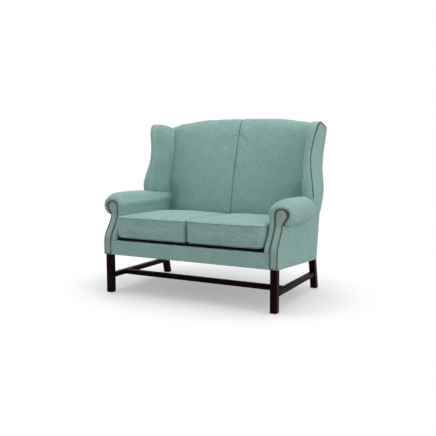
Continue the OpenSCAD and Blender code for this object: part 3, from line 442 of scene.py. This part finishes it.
def quads(node, crease=50):
    """A bmesh of a solid in quads, with its rims creased."""
    shape = merged(node)
    bmesh.ops.join_triangles(shape, faces=shape.faces, angle_face_threshold=math.radians(60),
                             angle_shape_threshold=math.radians(120))
    layer = shape.edges.layers.float.new("crease_edge")
    for edge in shape.edges:
        if len(edge.link_faces) == 2 and edge.calc_face_angle(0) > math.radians(crease):
            edge[layer] = 1
    return shape


MADE = {}

# Metres: the clearance between pads, how far pads that meet press into each other, how deep the
# tucked cloth lies, how thick it is, and how far swelling may draw a pad in
GAP = 0.0003
PRESS = 0.004
TUCK_DEPTH = 0.005
TUCK_THICK = 0.0012
DRAW_IN = 0.0006

# Fall of the seat for each metre towards the back
SEAT_SLOPE = 0.0214


class Neighbours:
    """The pieces that a pad lies against, or their solids where they aren't made yet."""

    def __init__(self, names):
        where, faces, self.made = [], [], []
        for name in names:
            mesh = MADE.get(name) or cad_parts[name].data
            start = len(where)
            where += [v.co.copy() for v in mesh.vertices]
            faces += [[start + i for i in p.vertices] for p in mesh.polygons]
            self.made += [name in MADE] * len(mesh.polygons)
        self.tree = BVHTree.FromPolygons(where, faces)

    def room(self, start, way, reach):
        """How far a point may go one way, half as far where the neighbour comes to meet it."""
        hit = self.tree.ray_cast(start, way, reach + GAP)
        if hit[0] is None:
            return None
        return max(0, hit[3] - GAP) * (1 if self.made[hit[2]] else 0.5)


def edge_ends(mesh):
    ends = np.zeros(len(mesh.edges) * 2, int)
    mesh.edges.foreach_get("vertices", ends)
    return ends.reshape(-1, 2)


def neighbour_mean(values, ends):
    """Mean of the values at the other ends of each vertex's edges."""
    count = np.bincount(ends.ravel(), minlength=len(values)).clip(1)
    return (np.bincount(ends[:, 0], values[ends[:, 1]], len(values))
            + np.bincount(ends[:, 1], values[ends[:, 0]], len(values))) / count


def cleared(mesh, rest, moved, against, times=6):
    """Points moved from rest to moved, each stopped before a neighbour."""
    step = moved - rest
    size = np.linalg.norm(step, axis=1)
    free = np.ones(len(rest))
    for i in np.nonzero(size > 1e-7)[0]:
        room = against.room(Vector(rest[i]), Vector(step[i] / size[i]), size[i] * 2)
        if room is not None:
            free[i] = min(1, room / size[i])
    ends = edge_ends(mesh)
    limit = free.copy()
    for _ in range(times):
        free = np.minimum(limit, 0.5 * free + 0.5 * neighbour_mean(free, ends))
    return rest + step * free[:, None]


def snug(mesh, way, names, reach, press=0.0, times=10):
    """Draws the side of a pad that faces a neighbour up to it, and the cloth beside it along."""
    rest = points(mesh)
    way = Vector(way)
    toward = normals(mesh) @ np.array(way)
    tree = Neighbours(names).tree
    move = np.zeros(len(rest))
    for i in np.nonzero(toward > 0.15)[0]:
        hit = tree.ray_cast(Vector(rest[i]), way, reach)
        if hit[0] is not None and hit[1].dot(way) < 0:
            move[i] = max(0, hit[3] - GAP + press) * (1 - (hit[3] / reach) ** 3)
    ends = edge_ends(mesh)
    target = move.copy()
    for _ in range(times):
        move = np.maximum(target, 0.9 * neighbour_mean(move, ends))
    for _ in range(6):
        move = neighbour_mean(move, ends)
    set_points(mesh, rest + np.outer(move, way))


def swollen(piece, cap, against):
    """Swells a closed pad by air pressure, held where it lies against its neighbours."""
    mesh = piece.data
    rest = points(mesh)
    held = piece.vertex_groups.new(name="held")
    near = [i for i, p in enumerate(rest)
            if against.tree.find_nearest(Vector(p), 0.002)[0] is not None]
    held.add(near, 1, "ADD")
    cloth = piece.modifiers.new("Cloth", "CLOTH")
    cloth.settings.quality = 4
    cloth.settings.use_pressure = True
    cloth.settings.uniform_pressure_force = 4
    cloth.settings.effector_weights.gravity = 0
    cloth.settings.vertex_group_mass = "held"
    cloth.collision_settings.use_collision = False
    cloth.collision_settings.use_self_collision = False
    for step in range(1, 21):
        bpy.context.scene.frame_set(step)
    full = evaluated(piece)
    moved = points(full)
    bpy.data.meshes.remove(full)
    piece.modifiers.clear()
    piece.vertex_groups.clear()
    bpy.context.scene.frame_set(1)
    facing = normals(mesh)
    rise = ((moved - rest) * facing).sum(1)
    moved = rest + facing * np.clip(rise, -DRAW_IN, cap)[:, None]
    set_points(mesh, cleared(mesh, rest, moved, against))


def rippled(mesh, height, size, seed, against=None):
    """Slight waves in taut cloth, and finer puckers in them."""
    rest = points(mesh)
    facing = normals(mesh)
    shift = Vector((seed * 3.1, seed * 1.7, seed * 2.3))
    wave = np.array([noise.noise(Vector(p) / size + shift)
                     + 0.35 * noise.noise(Vector(p) * 3 / size + shift) for p in rest])
    moved = rest + facing * (wave * height)[:, None]
    set_points(mesh, cleared(mesh, rest, moved, against) if against else moved)


def weave_map(mesh):
    """UV map in metres: each face from the side that it faces most."""
    where = points(mesh)
    corners = np.zeros(len(mesh.loops), int)
    mesh.loops.foreach_get("vertex_index", corners)
    counts = np.zeros(len(mesh.polygons), int)
    mesh.polygons.foreach_get("loop_total", counts)
    facing = np.zeros(len(mesh.polygons) * 3)
    mesh.polygons.foreach_get("normal", facing)
    side = np.repeat(np.abs(facing.reshape(-1, 3)).argmax(1), counts)
    at = where[corners]
    u = np.where(side == 0, at[:, 1], at[:, 0])
    v = np.where(side == 2, at[:, 1], at[:, 2])
    layer = mesh.uv_layers.get("Weave") or mesh.uv_layers.new(name="Weave")
    layer.data.foreach_set("uv", np.stack([u, v], 1).ravel())


def subdivided(piece, levels=1):
    grown = piece.modifiers.new("Subdivision", "SUBSURF")
    grown.levels = grown.render_levels = levels
    return applied(piece)


def eased(t):
    t = np.clip(t, 0, 1)
    return t * t * (3 - 2 * t)


def rising(value, start, over):
    """0 up to a start, and 1 from a distance past it."""
    return eased((value - start) / over)


def near(distance, over):
    """1 at no distance, and 0 from a given distance on."""
    return eased(1 - distance / over)


def pad(node, voxel, cap, names, form=None, snugs=(), ripple=1.0, waves=0.09, seed=0):
    """A padded piece in place of a soft solid: made smooth, meshed evenly, formed and swollen."""
    piece = put(quads(node), node + "_cover", woven_wool_cloth())
    subdivided(piece, 2)
    mesh_over = piece.modifiers.new("Remesh", "REMESH")
    mesh_over.mode = "VOXEL"
    mesh_over.voxel_size = voxel
    ease = piece.modifiers.new("Smooth", "SMOOTH")
    ease.iterations = 3
    applied(piece)
    if form:
        set_points(piece.data, form(points(piece.data)))
    against = Neighbours(names)
    swollen(piece, cap, against)
    for way, beside, reach in snugs:
        snug(piece.data, way, beside, reach, PRESS)
    rippled(piece.data, settings().cloth.ripple * ripple, waves, settings().seed + seed, against)
    MADE[node] = piece.data.copy()
    return piece


def mirrored(piece, name):
    """The other side's copy of a piece."""
    shape = bmesh.new()
    shape.from_mesh(piece.data)
    bmesh.ops.scale(shape, vec=(-1, 1, 1), verts=shape.verts)
    bmesh.ops.reverse_faces(shape, faces=shape.faces)
    return put(shape, name, piece.data.materials[0])


def finished(piece, body, slot, *nodes, fill=None):
    """Settles a piece: smooth, woven, on its body, in place of its solids."""
    piece.data.shade_smooth()
    if slot == "cover_cloth":
        weave_map(piece.data)
    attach(piece, body)
    if nodes:
        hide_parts(*nodes)
    return piece


def both_sides(right, node, fill=None, smooth=True):
    """Settles a right piece and its mirrored copy on the frame, in place of their two solids."""
    left = mirrored(right, node + "_left_cover")
    for side, piece in (("right", right), ("left", left)):
        if smooth:
            subdivided(piece)
        finished(piece, "frame", "cover_cloth", node + "_" + side, fill=fill)


def tucked(piece, name, at, axis, way, low, high):
    """Cloth pulled through behind a joint, so that no timber shows between two pads."""
    shape = bmesh.new()
    shape.from_mesh(piece.data)
    surface = BVHTree.FromBMesh(shape)
    bmesh.ops.bisect_plane(shape, geom=shape.verts[:] + shape.edges[:] + shape.faces[:],
                           plane_co=at, plane_no=axis, clear_inner=True, clear_outer=True)
    outside = [v for v in shape.verts if not low < v.co.z < high]
    bmesh.ops.delete(shape, geom=outside, context="VERTS")
    for vert in shape.verts:
        facing = surface.find_nearest(vert.co)[1]
        flat = facing - Vector(axis) * facing.dot(Vector(axis))
        vert.co -= flat.normalized() * TUCK_DEPTH
    grown = bmesh.ops.extrude_edge_only(shape, edges=shape.edges[:])["geom"]
    grown = [v for v in grown if isinstance(v, bmesh.types.BMVert)]
    bmesh.ops.translate(shape, vec=way, verts=grown)
    bmesh.ops.recalc_face_normals(shape, faces=shape.faces)
    strip = put(shape, name + "_right_tuck", woven_wool_cloth())
    cloth = strip.modifiers.new("Thickness", "SOLIDIFY")
    cloth.thickness = TUCK_THICK
    applied(strip)
    for side in (strip, mirrored(strip, name + "_left_tuck")):
        finished(side, "frame", "cover_cloth")


def clean_solid(node):
    """A bmesh of a flat-sided solid with its flat faces whole."""
    shape = merged(node)
    bmesh.ops.dissolve_limit(shape, angle_limit=math.radians(0.5), verts=shape.verts,
                             edges=shape.edges)
    return shape


def edged(shape, width, segments=3, angle=25):
    """Rounds the edges of a flat-sided solid."""
    sharp = [e for e in shape.edges if e.calc_face_angle(0) > math.radians(angle)]
    bmesh.ops.bevel(shape, geom=sharp, offset=width, offset_type="OFFSET", segments=segments,
                    profile=0.5, affect="EDGES", material=-1, clamp_overlap=True)
    return shape


def crosscut(shape, axis, step):
    """Cuts a solid across an axis at every step, so that it can bend."""
    spots = [v.co[axis] for v in shape.verts]
    low, high = min(spots), max(spots)
    number = max(2, round((high - low) / step))
    direction = [0, 0, 0]
    direction[axis] = 1
    for k in range(1, number):
        at = [0, 0, 0]
        at[axis] = low + (high - low) * k / number
        bmesh.ops.bisect_plane(shape, geom=shape.verts[:] + shape.edges[:] + shape.faces[:],
                               plane_co=at, plane_no=direction, dist=1e-6)
    return shape


def weighted(piece):
    """Keeps flat faces flat beside their rounded edges."""
    even = piece.modifiers.new("Normals", "WEIGHTED_NORMAL")
    even.keep_sharp = True
    return piece


class Maker(bpy.types.Operator):
    """Runs build."""

    bl_options = {"REGISTER", "UNDO"}

    def execute(self, context):
        self.build(settings())
        return {"FINISHED"}


class SETTEE_OT_seat_cushions(Maker):
    """Two loose box cushions with a plain seam round top and bottom"""

    bl_idname = "settee.seat_cushions"
    bl_label = "Seat cushions"

    # Metres: how far the lower edges ease up at the outside, front and inside, and how far in
    OUTER_EASE, FRONT_EASE, INNER_EASE, EASE_IN = 0.006, 0.004, 0.003, 0.003
    # Metres: the seams' heights over the cushion's underside, their radius and how proud they lie
    SEAM_LEVELS = (0.006, 0.132)
    SEAM_RADIUS, SEAM_PROUD = 0.0014, 0.0004
    # Points of a seam's curve between two points of the solid's rim
    CURVE_STEPS = 8

    def form(self, p):
        """Rounds a cushion's lower edges, most at its outer front corner."""
        low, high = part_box("seat_cushion_right")
        up = (p[:, 2] - low.z - SEAT_SLOPE * (high.y - p[:, 1])) / (high.z - low.z)
        share = np.clip(1 - up / 0.5, 0, 1) ** 2
        outer = near(high.x - p[:, 0], 0.05)
        front = near(p[:, 1] - low.y, 0.055)
        inner = near(p[:, 0] - low.x, 0.03)
        ahead = 0.5 + 0.5 * near(p[:, 1] - low.y, 0.2)
        out = p.copy()
        out[:, 2] += share * (self.OUTER_EASE * outer * ahead + self.FRONT_EASE * front
                              + self.INNER_EASE * inner)
        out[:, 0] -= share * self.EASE_IN * outer
        out[:, 1] += share * self.EASE_IN * front
        return out

    def build(self, all_settings):
        cap = all_settings.cloth.cushion_swell
        right = pad("seat_cushion_right", 0.007, cap, (
            "seat_deck", "front_border", "arm_pad_right", "inside_back_right",
            "seat_cushion_left"), form=self.form, ripple=1.3, waves=0.1, seed=1)
        left = mirrored(right, "seat_cushion_left_cover")
        for side, piece in (("right", right), ("left", left)):
            subdivided(piece)
            finished(piece, "cushion_" + side, "cover_cloth", "seat_cushion_" + side, fill=0.85)
            self.seams(piece, side)

    def seams(self, piece, side):
        """A plain seam shows as a fine ridge where top and bottom meet the border, its thread
        darkened as painted shade.
        """
        shape = merged("seat_cushion_" + side)
        low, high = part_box("seat_cushion_" + side)
        curve = bpy.data.curves.new("seam", "CURVE")
        curve.dimensions = "3D"
        curve.bevel_depth = self.SEAM_RADIUS
        curve.bevel_resolution = 1
        surface = BVHTree.FromPolygons([v.co.copy() for v in piece.data.vertices],
                                       [tuple(p.vertices) for p in piece.data.polygons])
        middle = (low + high) / 2
        mirror = (1 if side == "right" else -1, 1, 1)
        for level in self.SEAM_LEVELS:
            ring = [v.co.copy() for v in shape.verts
                    if abs(v.co.z - low.z - SEAT_SLOPE * (high.y - v.co.y) - level) < 0.0008]
            ring.sort(key=lambda c: math.atan2(c.y - middle.y, c.x - middle.x))
            where = self.form(np.array(ring) * mirror) * mirror
            spline = curve.splines.new("POLY")
            count = len(where)
            spline.points.add(count * self.CURVE_STEPS - 1)
            spline.use_cyclic_u = True
            # A smooth curve through the rim's points, laid on the cloth
            for i in range(count * self.CURVE_STEPS):
                k, t = divmod(i, self.CURVE_STEPS)
                t /= self.CURVE_STEPS
                a, b, c, d = (where[(k + j) % count] for j in (-1, 0, 1, 2))
                at = b + t / 2 * (c - a + t * (2 * a - 5 * b + 4 * c - d
                                               + t * (3 * (b - c) + d - a)))
                spot, facing = surface.find_nearest(Vector(at))[:2]
                spline.points[i].co = (*(spot + facing * self.SEAM_PROUD), 1)
        shape.free()
        seam = bpy.data.objects.new("seam", curve)
        bpy.context.scene.collection.objects.link(seam)
        mesh = evaluated(seam)
        bpy.data.objects.remove(seam)
        # The seam's tube is drawn dark as painted shade of the groove
        welt_painted_shade = place(mesh, "seat_cushion_" + side + "_seams_painted_shade", seam_thread_painted_shade())
        finished(welt_painted_shade, "cushion_" + side, "cover_cloth")


# Metres that the crease between the back and a wing is set out by, just above the arm. The places
# in this and every other form are metres in the part's own frame, on its right side
CREASE_OUT = 0.01


def crease_form(p):
    """Sets the crease between the back and a wing further out just above the arm."""
    out = p.copy()
    high = rising(p[:, 2], 0.575, 0.035) * (1 - rising(p[:, 2], 0.7, 0.2))
    beside = rising(p[:, 0], 0.44, 0.05) * (1 - rising(p[:, 0], 0.515, 0.045))
    out[:, 0] += CREASE_OUT * high * beside
    return out


class SETTEE_OT_inside_back(Maker):
    """The padded inside back, in two panels with a seam down the middle"""

    bl_idname = "settee.inside_back"
    bl_label = "Inside back"

    # Metres: how near the middle the seam draws cloth in, how far the top rises, and how far the
    # front rounds off beside an arm
    SEAM_REACH = 0.007
    TOP_RISE = 0.009
    ARM_ROUNDING = 0.016

    def form(self, p):
        """Draws the panels tight together at the seam and rounds them off beside the arms."""
        out = crease_form(p)
        drawn = GAP + (p[:, 0] - 0.0002) * 0.12
        out[:, 0] = np.where(p[:, 0] < self.SEAM_REACH, drawn, out[:, 0])
        out[:, 2] += self.TOP_RISE * rising(p[:, 2], 0.95, 0.1)
        side = np.clip((p[:, 0] - 0.43) / 0.07, 0, 1) ** 2
        low = 1 - rising(p[:, 2], 0.6, 0.08)
        out[:, 1] += self.ARM_ROUNDING * side * low * (1 - rising(p[:, 1], 0.25, 0.08))
        return out

    def build(self, all_settings):
        beside = ("wing_pad_right", "arm_pad_right")
        right = pad("inside_back_right", 0.008, all_settings.cloth.pad_swell, beside + (
            "seat_cushion_right", "seat_deck", "back_webbing", "back_top_rail",
            "back_tacking_rail", "outside_back", "back_post_right", "back_centre_upright"),
            form=self.form, snugs=(((1, 0, 0), beside, 0.02), ((0, -1, 0), beside, 0.014)),
            ripple=1.2, waves=0.14, seed=2)
        where = points(right.data)
        where[:, 0] = np.maximum(where[:, 0], GAP)
        set_points(right.data, where)
        both_sides(right, "inside_back", fill=0.8)
        tucked(right, "back_low", (0.485, 0, 0), (1, 0, 0), (0.035, 0, 0), 0.3, 0.66)
        tucked(right, "back_high", (0.515, 0, 0), (1, 0, 0), (0.03, 0, 0), 0.62, 2)


class SETTEE_OT_arm_pads(Maker):
    """The scroll arms: roll and inside arm in one padded piece on each side"""

    bl_idname = "settee.arm_pads"
    bl_label = "Arm pads"

    # Metres: how far the roll's front comes back, how much less at its inner side, how far the
    # roll grows at the wing and sinks at the front, and how far it bulges inwards
    FRONT_BACK, FRONT_LESS = 0.026, 0.006
    ROLL_GROWTH = 0.009
    INNER_BULGE = 0.006

    def front_line(self, p, low, high, z):
        """How far forward points between two sides reach, at each height."""
        levels = np.arange(0.35, 0.6, 0.01)
        within = p[(p[:, 0] > low) & (p[:, 0] < high)]
        reach = [within[np.abs(within[:, 2] - level) < 0.008, 1].min() for level in levels]
        return np.interp(z, levels, reach)

    def form(self, p):
        """Brings the roll's front level with its facing and fills it out towards the wing."""
        x, y, z = p.T
        out = p.copy()
        proud = self.FRONT_BACK - self.FRONT_LESS * eased((0.545 - x) / 0.02)
        out[:, 1] += proud * rising(z, 0.45, 0.09) * np.clip((-0.28 - y) / 0.097, 0, 1)
        away = np.stack([x - 0.585, z - 0.56], 1)
        away /= np.linalg.norm(away, axis=1).clip(1e-6)[:, None]
        front = self.ROLL_GROWTH * eased((-0.3 - out[:, 1]) / 0.045)
        rear = self.ROLL_GROWTH * rising(y, -0.2, 0.25)
        share = np.clip(away, 0, 1).max(1) * rising(z, 0.45, 0.05)
        out[:, 0] += rear * share * away[:, 0]
        out[:, 2] += (rear - front) * share * away[:, 1]
        strip = self.front_line(p, 0.505, 0.535, z)
        behind = strip - self.front_line(points(MADE["arm_facing_right"]), 0.54, 0.585, z)
        out[:, 1] -= np.clip(behind, 0, 0.02) * np.clip(1 - (y - strip) / 0.06, 0, 1)
        out[:, 0] -= self.INNER_BULGE * near(x - 0.5, 0.04) * np.exp(-((z - 0.565) / 0.03) ** 2)
        return out

    def build(self, all_settings):
        right = pad("arm_pad_right", 0.007, all_settings.cloth.pad_swell, (
            "arm_post_right", "arm_rail_right", "arm_tacking_rail_right", "arm_facing_right",
            "arm_nails_right", "outside_arm_right", "outside_wing_right", "wing_pad_right",
            "inside_back_right", "seat_cushion_right", "seat_deck", "front_border",
            "back_post_right"), form=self.form, seed=3)
        both_sides(right, "arm_pad", fill=0.8)


class SETTEE_OT_wing_pads(Maker):
    """The wings, padded inside and rolled over their shaped front edge"""

    bl_idname = "settee.wing_pads"
    bl_label = "Wing pads"

    # Metres that the front edge comes forward by at the arm
    FRONT_OUT = 0.006

    def form(self, p):
        """Draws the front edge forward where the wing meets the arm."""
        out = crease_form(p)
        low = 1 - rising(p[:, 2], 0.6, 0.09)
        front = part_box("wing_pad_right")[0].y
        out[:, 1] -= self.FRONT_OUT * low * near(p[:, 1] - front, 0.06)
        return out

    def build(self, all_settings):
        right = pad("wing_pad_right", 0.0036, all_settings.cloth.pad_swell * 0.8, (
            "wing_post_right", "wing_rail_right", "outside_wing_right", "wing_nails_right",
            "arm_pad_right", "inside_back_right", "arm_rail_right", "back_post_right",
            "back_webbing", "back_top_rail"), form=self.form,
            snugs=(((0, 0, -1), ("arm_pad_right",), 0.02),), ripple=0.8, seed=4)
        both_sides(right, "wing_pad", fill=0.75, smooth=False)
        tucked(right, "wing_pad", (0, 0, 0.63), (0, 0, 1), (0, 0, -0.05), 0, 1)


class SETTEE_OT_arm_facings(Maker):
    """The padded strips that face the arm fronts, dimpled by their nails"""

    bl_idname = "settee.arm_facings"
    bl_label = "Arm facings"

    def build(self, all_settings):
        right = pad("arm_facing_right", 0.003, all_settings.cloth.facing_swell, (
            "arm_post_right", "arm_nails_right", "arm_pad_right", "outside_arm_right",
            "front_border", "front_leg_right", "front_seat_rail"), ripple=0.4, waves=0.05, seed=5)
        both_sides(right, "arm_facing", fill=0.7, smooth=False)


class SETTEE_OT_outside_panels(Maker):
    """The outside arms and wings, taut over card, and the outside back"""

    bl_idname = "settee.outside_panels"
    bl_label = "Outside panels"

    def build(self, all_settings):
        height = all_settings.cloth.ripple * 0.6
        for part, seed, ways, beside in (
                ("outside_arm", 6, ((0, 0, 1),), ("outside_wing_right", "arm_pad_right")),
                ("outside_wing", 7, ((0, 0, -1), (0, -1, 0)),
                 ("outside_arm_right", "arm_pad_right"))):
            right = put(quads(part + "_right", 40), part + "_right_cover", woven_wool_cloth())
            subdivided(right, 3)
            names = ["arm_pad_right", "wing_pad_right", "wing_post_right", "wing_nails_right",
                     "arm_facing_right", "rear_leg_right", "side_seat_rail_right",
                     "back_post_right", "outside_back"]
            if part == "outside_wing":
                names.append("outside_arm_right")
            against = Neighbours(names)
            for way in ways:
                snug(right.data, way, beside, 0.016, 0.0005, 4)
            rippled(right.data, height, 0.16, all_settings.seed + seed, against)
            MADE[part + "_right"] = right.data.copy()
            both_sides(right, part, smooth=False)
        shape = edged(clean_solid("outside_back"), 0.0012, 2)
        crosscut(shape, 0, 0.03)
        crosscut(shape, 2, 0.03)
        back = put(shape, "outside_back_cover", woven_wool_cloth())
        rippled(back.data, height, 0.2, all_settings.seed + 8,
                Neighbours(("back_top_rail", "back_post_right", "back_post_left",
                            "back_centre_upright", "outside_wing_left", "outside_wing_right")))
        finished(back, "frame", "cover_cloth", "outside_back")


class SETTEE_OT_front_border(Maker):
    """The cloth over the front rail, rolled over at its top"""

    bl_idname = "settee.front_border"
    bl_label = "Front border"

    def build(self, all_settings):
        shape = crosscut(edged(clean_solid("front_border"), 0.0016, 2), 0, 0.02)
        border = subdivided(put(shape, "front_border_cover", woven_wool_cloth()))
        rippled(border.data, all_settings.cloth.ripple * 0.7, 0.08, all_settings.seed + 9,
                Neighbours(("front_seat_rail", "arm_facing_right", "arm_facing_left",
                            "seat_cushion_right", "seat_cushion_left")))
        finished(border, "frame", "cover_cloth", "front_border")


class SETTEE_OT_deck_and_dust_cover(Maker):
    """The padded deck under the cushions and the dust cover under the seat"""

    bl_idname = "settee.deck_and_dust_cover"
    bl_label = "Deck and dust cover"

    # Metres: how far the deck laps forward over the clips, sideways under the arms, and over a clip
    FRONT_LAP, SIDE_LAP, CLIP_COVER = 0.012, 0.004, 0.0006

    def form(self, p):
        """Laps the deck over the spring clips to the border and under the arms' padding."""
        clip_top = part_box("spring_clips")[1].z + self.CLIP_COVER
        low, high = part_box("seat_deck")
        out = p.copy()
        lap = eased((low.y + 0.011 - p[:, 1]) / 0.01)
        out[:, 1] -= self.FRONT_LAP * lap
        out[:, 2] = np.maximum(p[:, 2], p[:, 2] + (clip_top - p[:, 2]) * lap)
        aside = eased((np.abs(p[:, 0]) - high.x + 0.01) / 0.008)
        out[:, 0] += np.sign(p[:, 0]) * self.SIDE_LAP * aside
        return out

    def build(self, all_settings):
        for node, edge, sag, seed in (("seat_deck", 0.004, 0.0008, 10),
                                      ("dust_cover", 0.0003, 0.0003, 11)):
            shape = edged(clean_solid(node), edge, 2)
            crosscut(shape, 0, 0.04)
            crosscut(shape, 1, 0.04)
            piece = put(shape, node + "_cloth", black_lining_cloth())
            if node == "seat_deck":
                set_points(piece.data, self.form(points(piece.data)))
            rippled(piece.data, sag, 0.12, all_settings.seed + seed)
            finished(piece, "frame", "black_cloth", node)


class SETTEE_OT_legs_and_stretchers(Maker):
    """Square legs and stretchers with softened edges"""

    bl_idname = "settee.legs_and_stretchers"
    bl_label = "Legs and stretchers"

    def build(self, all_settings):
        width = all_settings.wood.edge
        for node, axis in (("front_leg_left", 2), ("front_leg_right", 2), ("rear_leg_left", 2),
                           ("rear_leg_right", 2), ("side_stretcher_left", 1),
                           ("side_stretcher_right", 1), ("cross_stretcher", 0)):
            piece = put(edged(clean_solid(node), width), node + "_polished",
                        stained_mahogany(axis))
            weighted(piece)
            finished(piece, "frame", "dark_wood", node)


class SETTEE_OT_frame_finishes(Maker):
    """Timber, springs, webbing, nails and glides keep their shapes and get their finishes"""

    bl_idname = "settee.frame_finishes"
    bl_label = "Frame finishes"

    def build(self, all_settings):
        kinds = (
            (planed_beech(0), ("front_seat_rail", "rear_seat_rail", "corner_blocks",
                               "back_top_rail", "back_tacking_rail")),
            (planed_beech(1), ("side_seat_rail", "centre_seat_rail", "arm_rail",
                               "arm_tacking_rail", "wing_rail")),
            (planed_beech(2), ("arm_post", "back_post", "back_centre_upright", "wing_post")),
            (drawn_spring_steel(), ("seat_springs", "spring_clips")),
            (woven_jute(), ("back_webbing",)),
            (antique_brass(), ("arm_nails", "wing_nails")),
            (moulded_nylon(), ("leg_glides",)),
        )
        for material, names in kinds:
            for name in names:
                for node in (name, name + "_left", name + "_right"):
                    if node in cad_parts:
                        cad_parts[node].data.materials.clear()
                        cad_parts[node].data.materials.append(material)


def sees_white(tree):
    """1 for the rays that show the surroundings: the camera's own, mirrored and through glass."""
    ray = add(tree, "LightPath").outputs
    seen = add(tree, "Math", {0: ray["Is Camera Ray"], 1: ray["Is Glossy Ray"]},
               operation="ADD", use_clamp=True).outputs[0]
    return add(tree, "Math", {0: seen, 1: ray["Is Transmission Ray"]},
               operation="ADD", use_clamp=True).outputs[0]


class SETTEE_OT_stage(Maker):
    """Camera, white floor and soft studio light"""

    bl_idname = "settee.stage"
    bl_label = "Stage"

    def build(self, all_settings):
        studio = all_settings.studio
        scene = bpy.context.scene
        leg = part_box("front_leg_right")[0]
        lens = bpy.data.cameras.new("camera")
        lens.lens = studio.lens
        lens.sensor_width = 36
        lens.clip_end = 100
        camera = bpy.data.objects.new("camera", lens)
        camera.location = (1.7736, leg.y - 3.0658, studio.height)
        camera.rotation_euler = (math.radians(90) - studio.tilt, 0, studio.turn)
        scene.collection.objects.link(camera)
        scene.camera = camera
        scene.view_settings.view_transform = "Standard"
        self.floor()
        self.sky(studio)
        self.lamp("overhead", (0, 0.05, 3.2), (0, 0, 0), 3.4, studio.overhead)
        self.lamp("side", (3.4, -0.5, 1.9), (0.0, 0.0, 0.6), 2.2, studio.side)
        self.lamp("fill", (-3.4, -0.4, 2.2), (0.0, 0.0, 0.7), 2.2, studio.fill)

    def floor(self):
        shape = bmesh.new()
        bmesh.ops.create_grid(shape, x_segments=2, y_segments=2, size=30)
        material, tree, shader = new_material("pale_floor")
        # The floor turns to plain white away from the settee, where no shadow reaches
        where = add(tree, "TexCoord").outputs["Object"]
        flat = add(tree, "VectorMath", {0: where, 1: (0.72, 0.9, 0)}, operation="MULTIPLY")
        away = add(tree, "VectorMath", {0: flat.outputs[0]}, operation="LENGTH").outputs[1]
        fade = add(tree, "MapRange", {0: away, 1: 0.42, 2: 0.86}, interpolation_type="SMOOTHSTEP")
        seen = sees_white(tree)
        lift = add(tree, "Math", {0: fade.outputs[0], 1: 1 - settings().studio.shadow},
                   operation="MAXIMUM").outputs[0]
        white = add(tree, "Math", {0: lift, 1: seen}, operation="MULTIPLY").outputs[0]
        wire(tree, shader, {"Base Color": mixed(tree, seen, (0.7, 0.7, 0.7, 1), (1, 1, 1, 1)),
                            "Roughness": 0.9, "Specular IOR Level": 0.0})
        glow = add(tree, "Emission", {0: (1, 1, 1, 1), 1: 1.0})
        both = add(tree, "MixShader", {0: white, 1: shader.outputs[0], 2: glow.outputs[0]})
        tree.links.new(both.outputs[0], tree.nodes["Material Output"].inputs[0])
        put(shape, "floor", material)

    def sky(self, studio):
        world = bpy.data.worlds.new("studio")
        bpy.context.scene.world = world
        world.use_nodes = True
        tree = world.node_tree
        seen = sees_white(tree)
        way = add(tree, "SeparateXYZ", {0: add(tree, "TexCoord").outputs["Object"]})
        level = ranged(tree, way.outputs[2], 0.0, 1.0, studio.horizon, studio.dome)
        light = add(tree, "Background", {0: (1, 1, 1, 1), 1: level})
        white = add(tree, "Background", {0: (1, 1, 1, 1), 1: 1.0})
        both = add(tree, "MixShader", {0: seen, 1: light.outputs[0], 2: white.outputs[0]})
        tree.links.new(both.outputs[0], tree.nodes["World Output"].inputs[0])

    def lamp(self, name, at, towards, size, power):
        light = bpy.data.lights.new(name, "AREA")
        light.shape = "DISK"
        light.size = size
        light.energy = power
        lamp = bpy.data.objects.new(name, light)
        lamp.location = at
        lamp.rotation_euler = (Vector(at) - Vector(towards)).to_track_quat("Z", "Y").to_euler()
        bpy.context.scene.collection.objects.link(lamp)


class SETTEE_PT_panel(bpy.types.Panel):
    """Lists the pieces and their settings."""

    bl_label = "High back settee"
    bl_space_type = "VIEW_3D"
    bl_region_type = "UI"
    bl_category = "Settee"

    def draw(self, context):
        all_settings = context.scene.settee
        for group in (all_settings.cloth, all_settings.wood, all_settings.studio):
            box = self.layout.box()
            for name in group.__annotations__:
                box.prop(group, name)
        self.layout.prop(all_settings, "seed")
        for maker in MAKERS:
            self.layout.operator(maker.bl_idname)


MAKERS = (SETTEE_OT_stage, SETTEE_OT_legs_and_stretchers, SETTEE_OT_frame_finishes,
          SETTEE_OT_deck_and_dust_cover, SETTEE_OT_arm_facings, SETTEE_OT_arm_pads,
          SETTEE_OT_wing_pads, SETTEE_OT_outside_panels, SETTEE_OT_front_border,
          SETTEE_OT_inside_back, SETTEE_OT_seat_cushions)
CLASSES = (SetteeCloth, SetteeWood, SetteeStudio, Settee) + MAKERS + (SETTEE_PT_panel,)


def register():
    for item in CLASSES:
        bpy.utils.register_class(item)
    bpy.types.Scene.settee = PointerProperty(type=Settee)


def unregister():
    del bpy.types.Scene.settee
    for item in reversed(CLASSES):
        bpy.utils.unregister_class(item)


def main():
    register()
    for maker in MAKERS:
        group, name = maker.bl_idname.split(".")
        getattr(getattr(bpy.ops, group), name)()


if __name__ == "__main__":
    main()
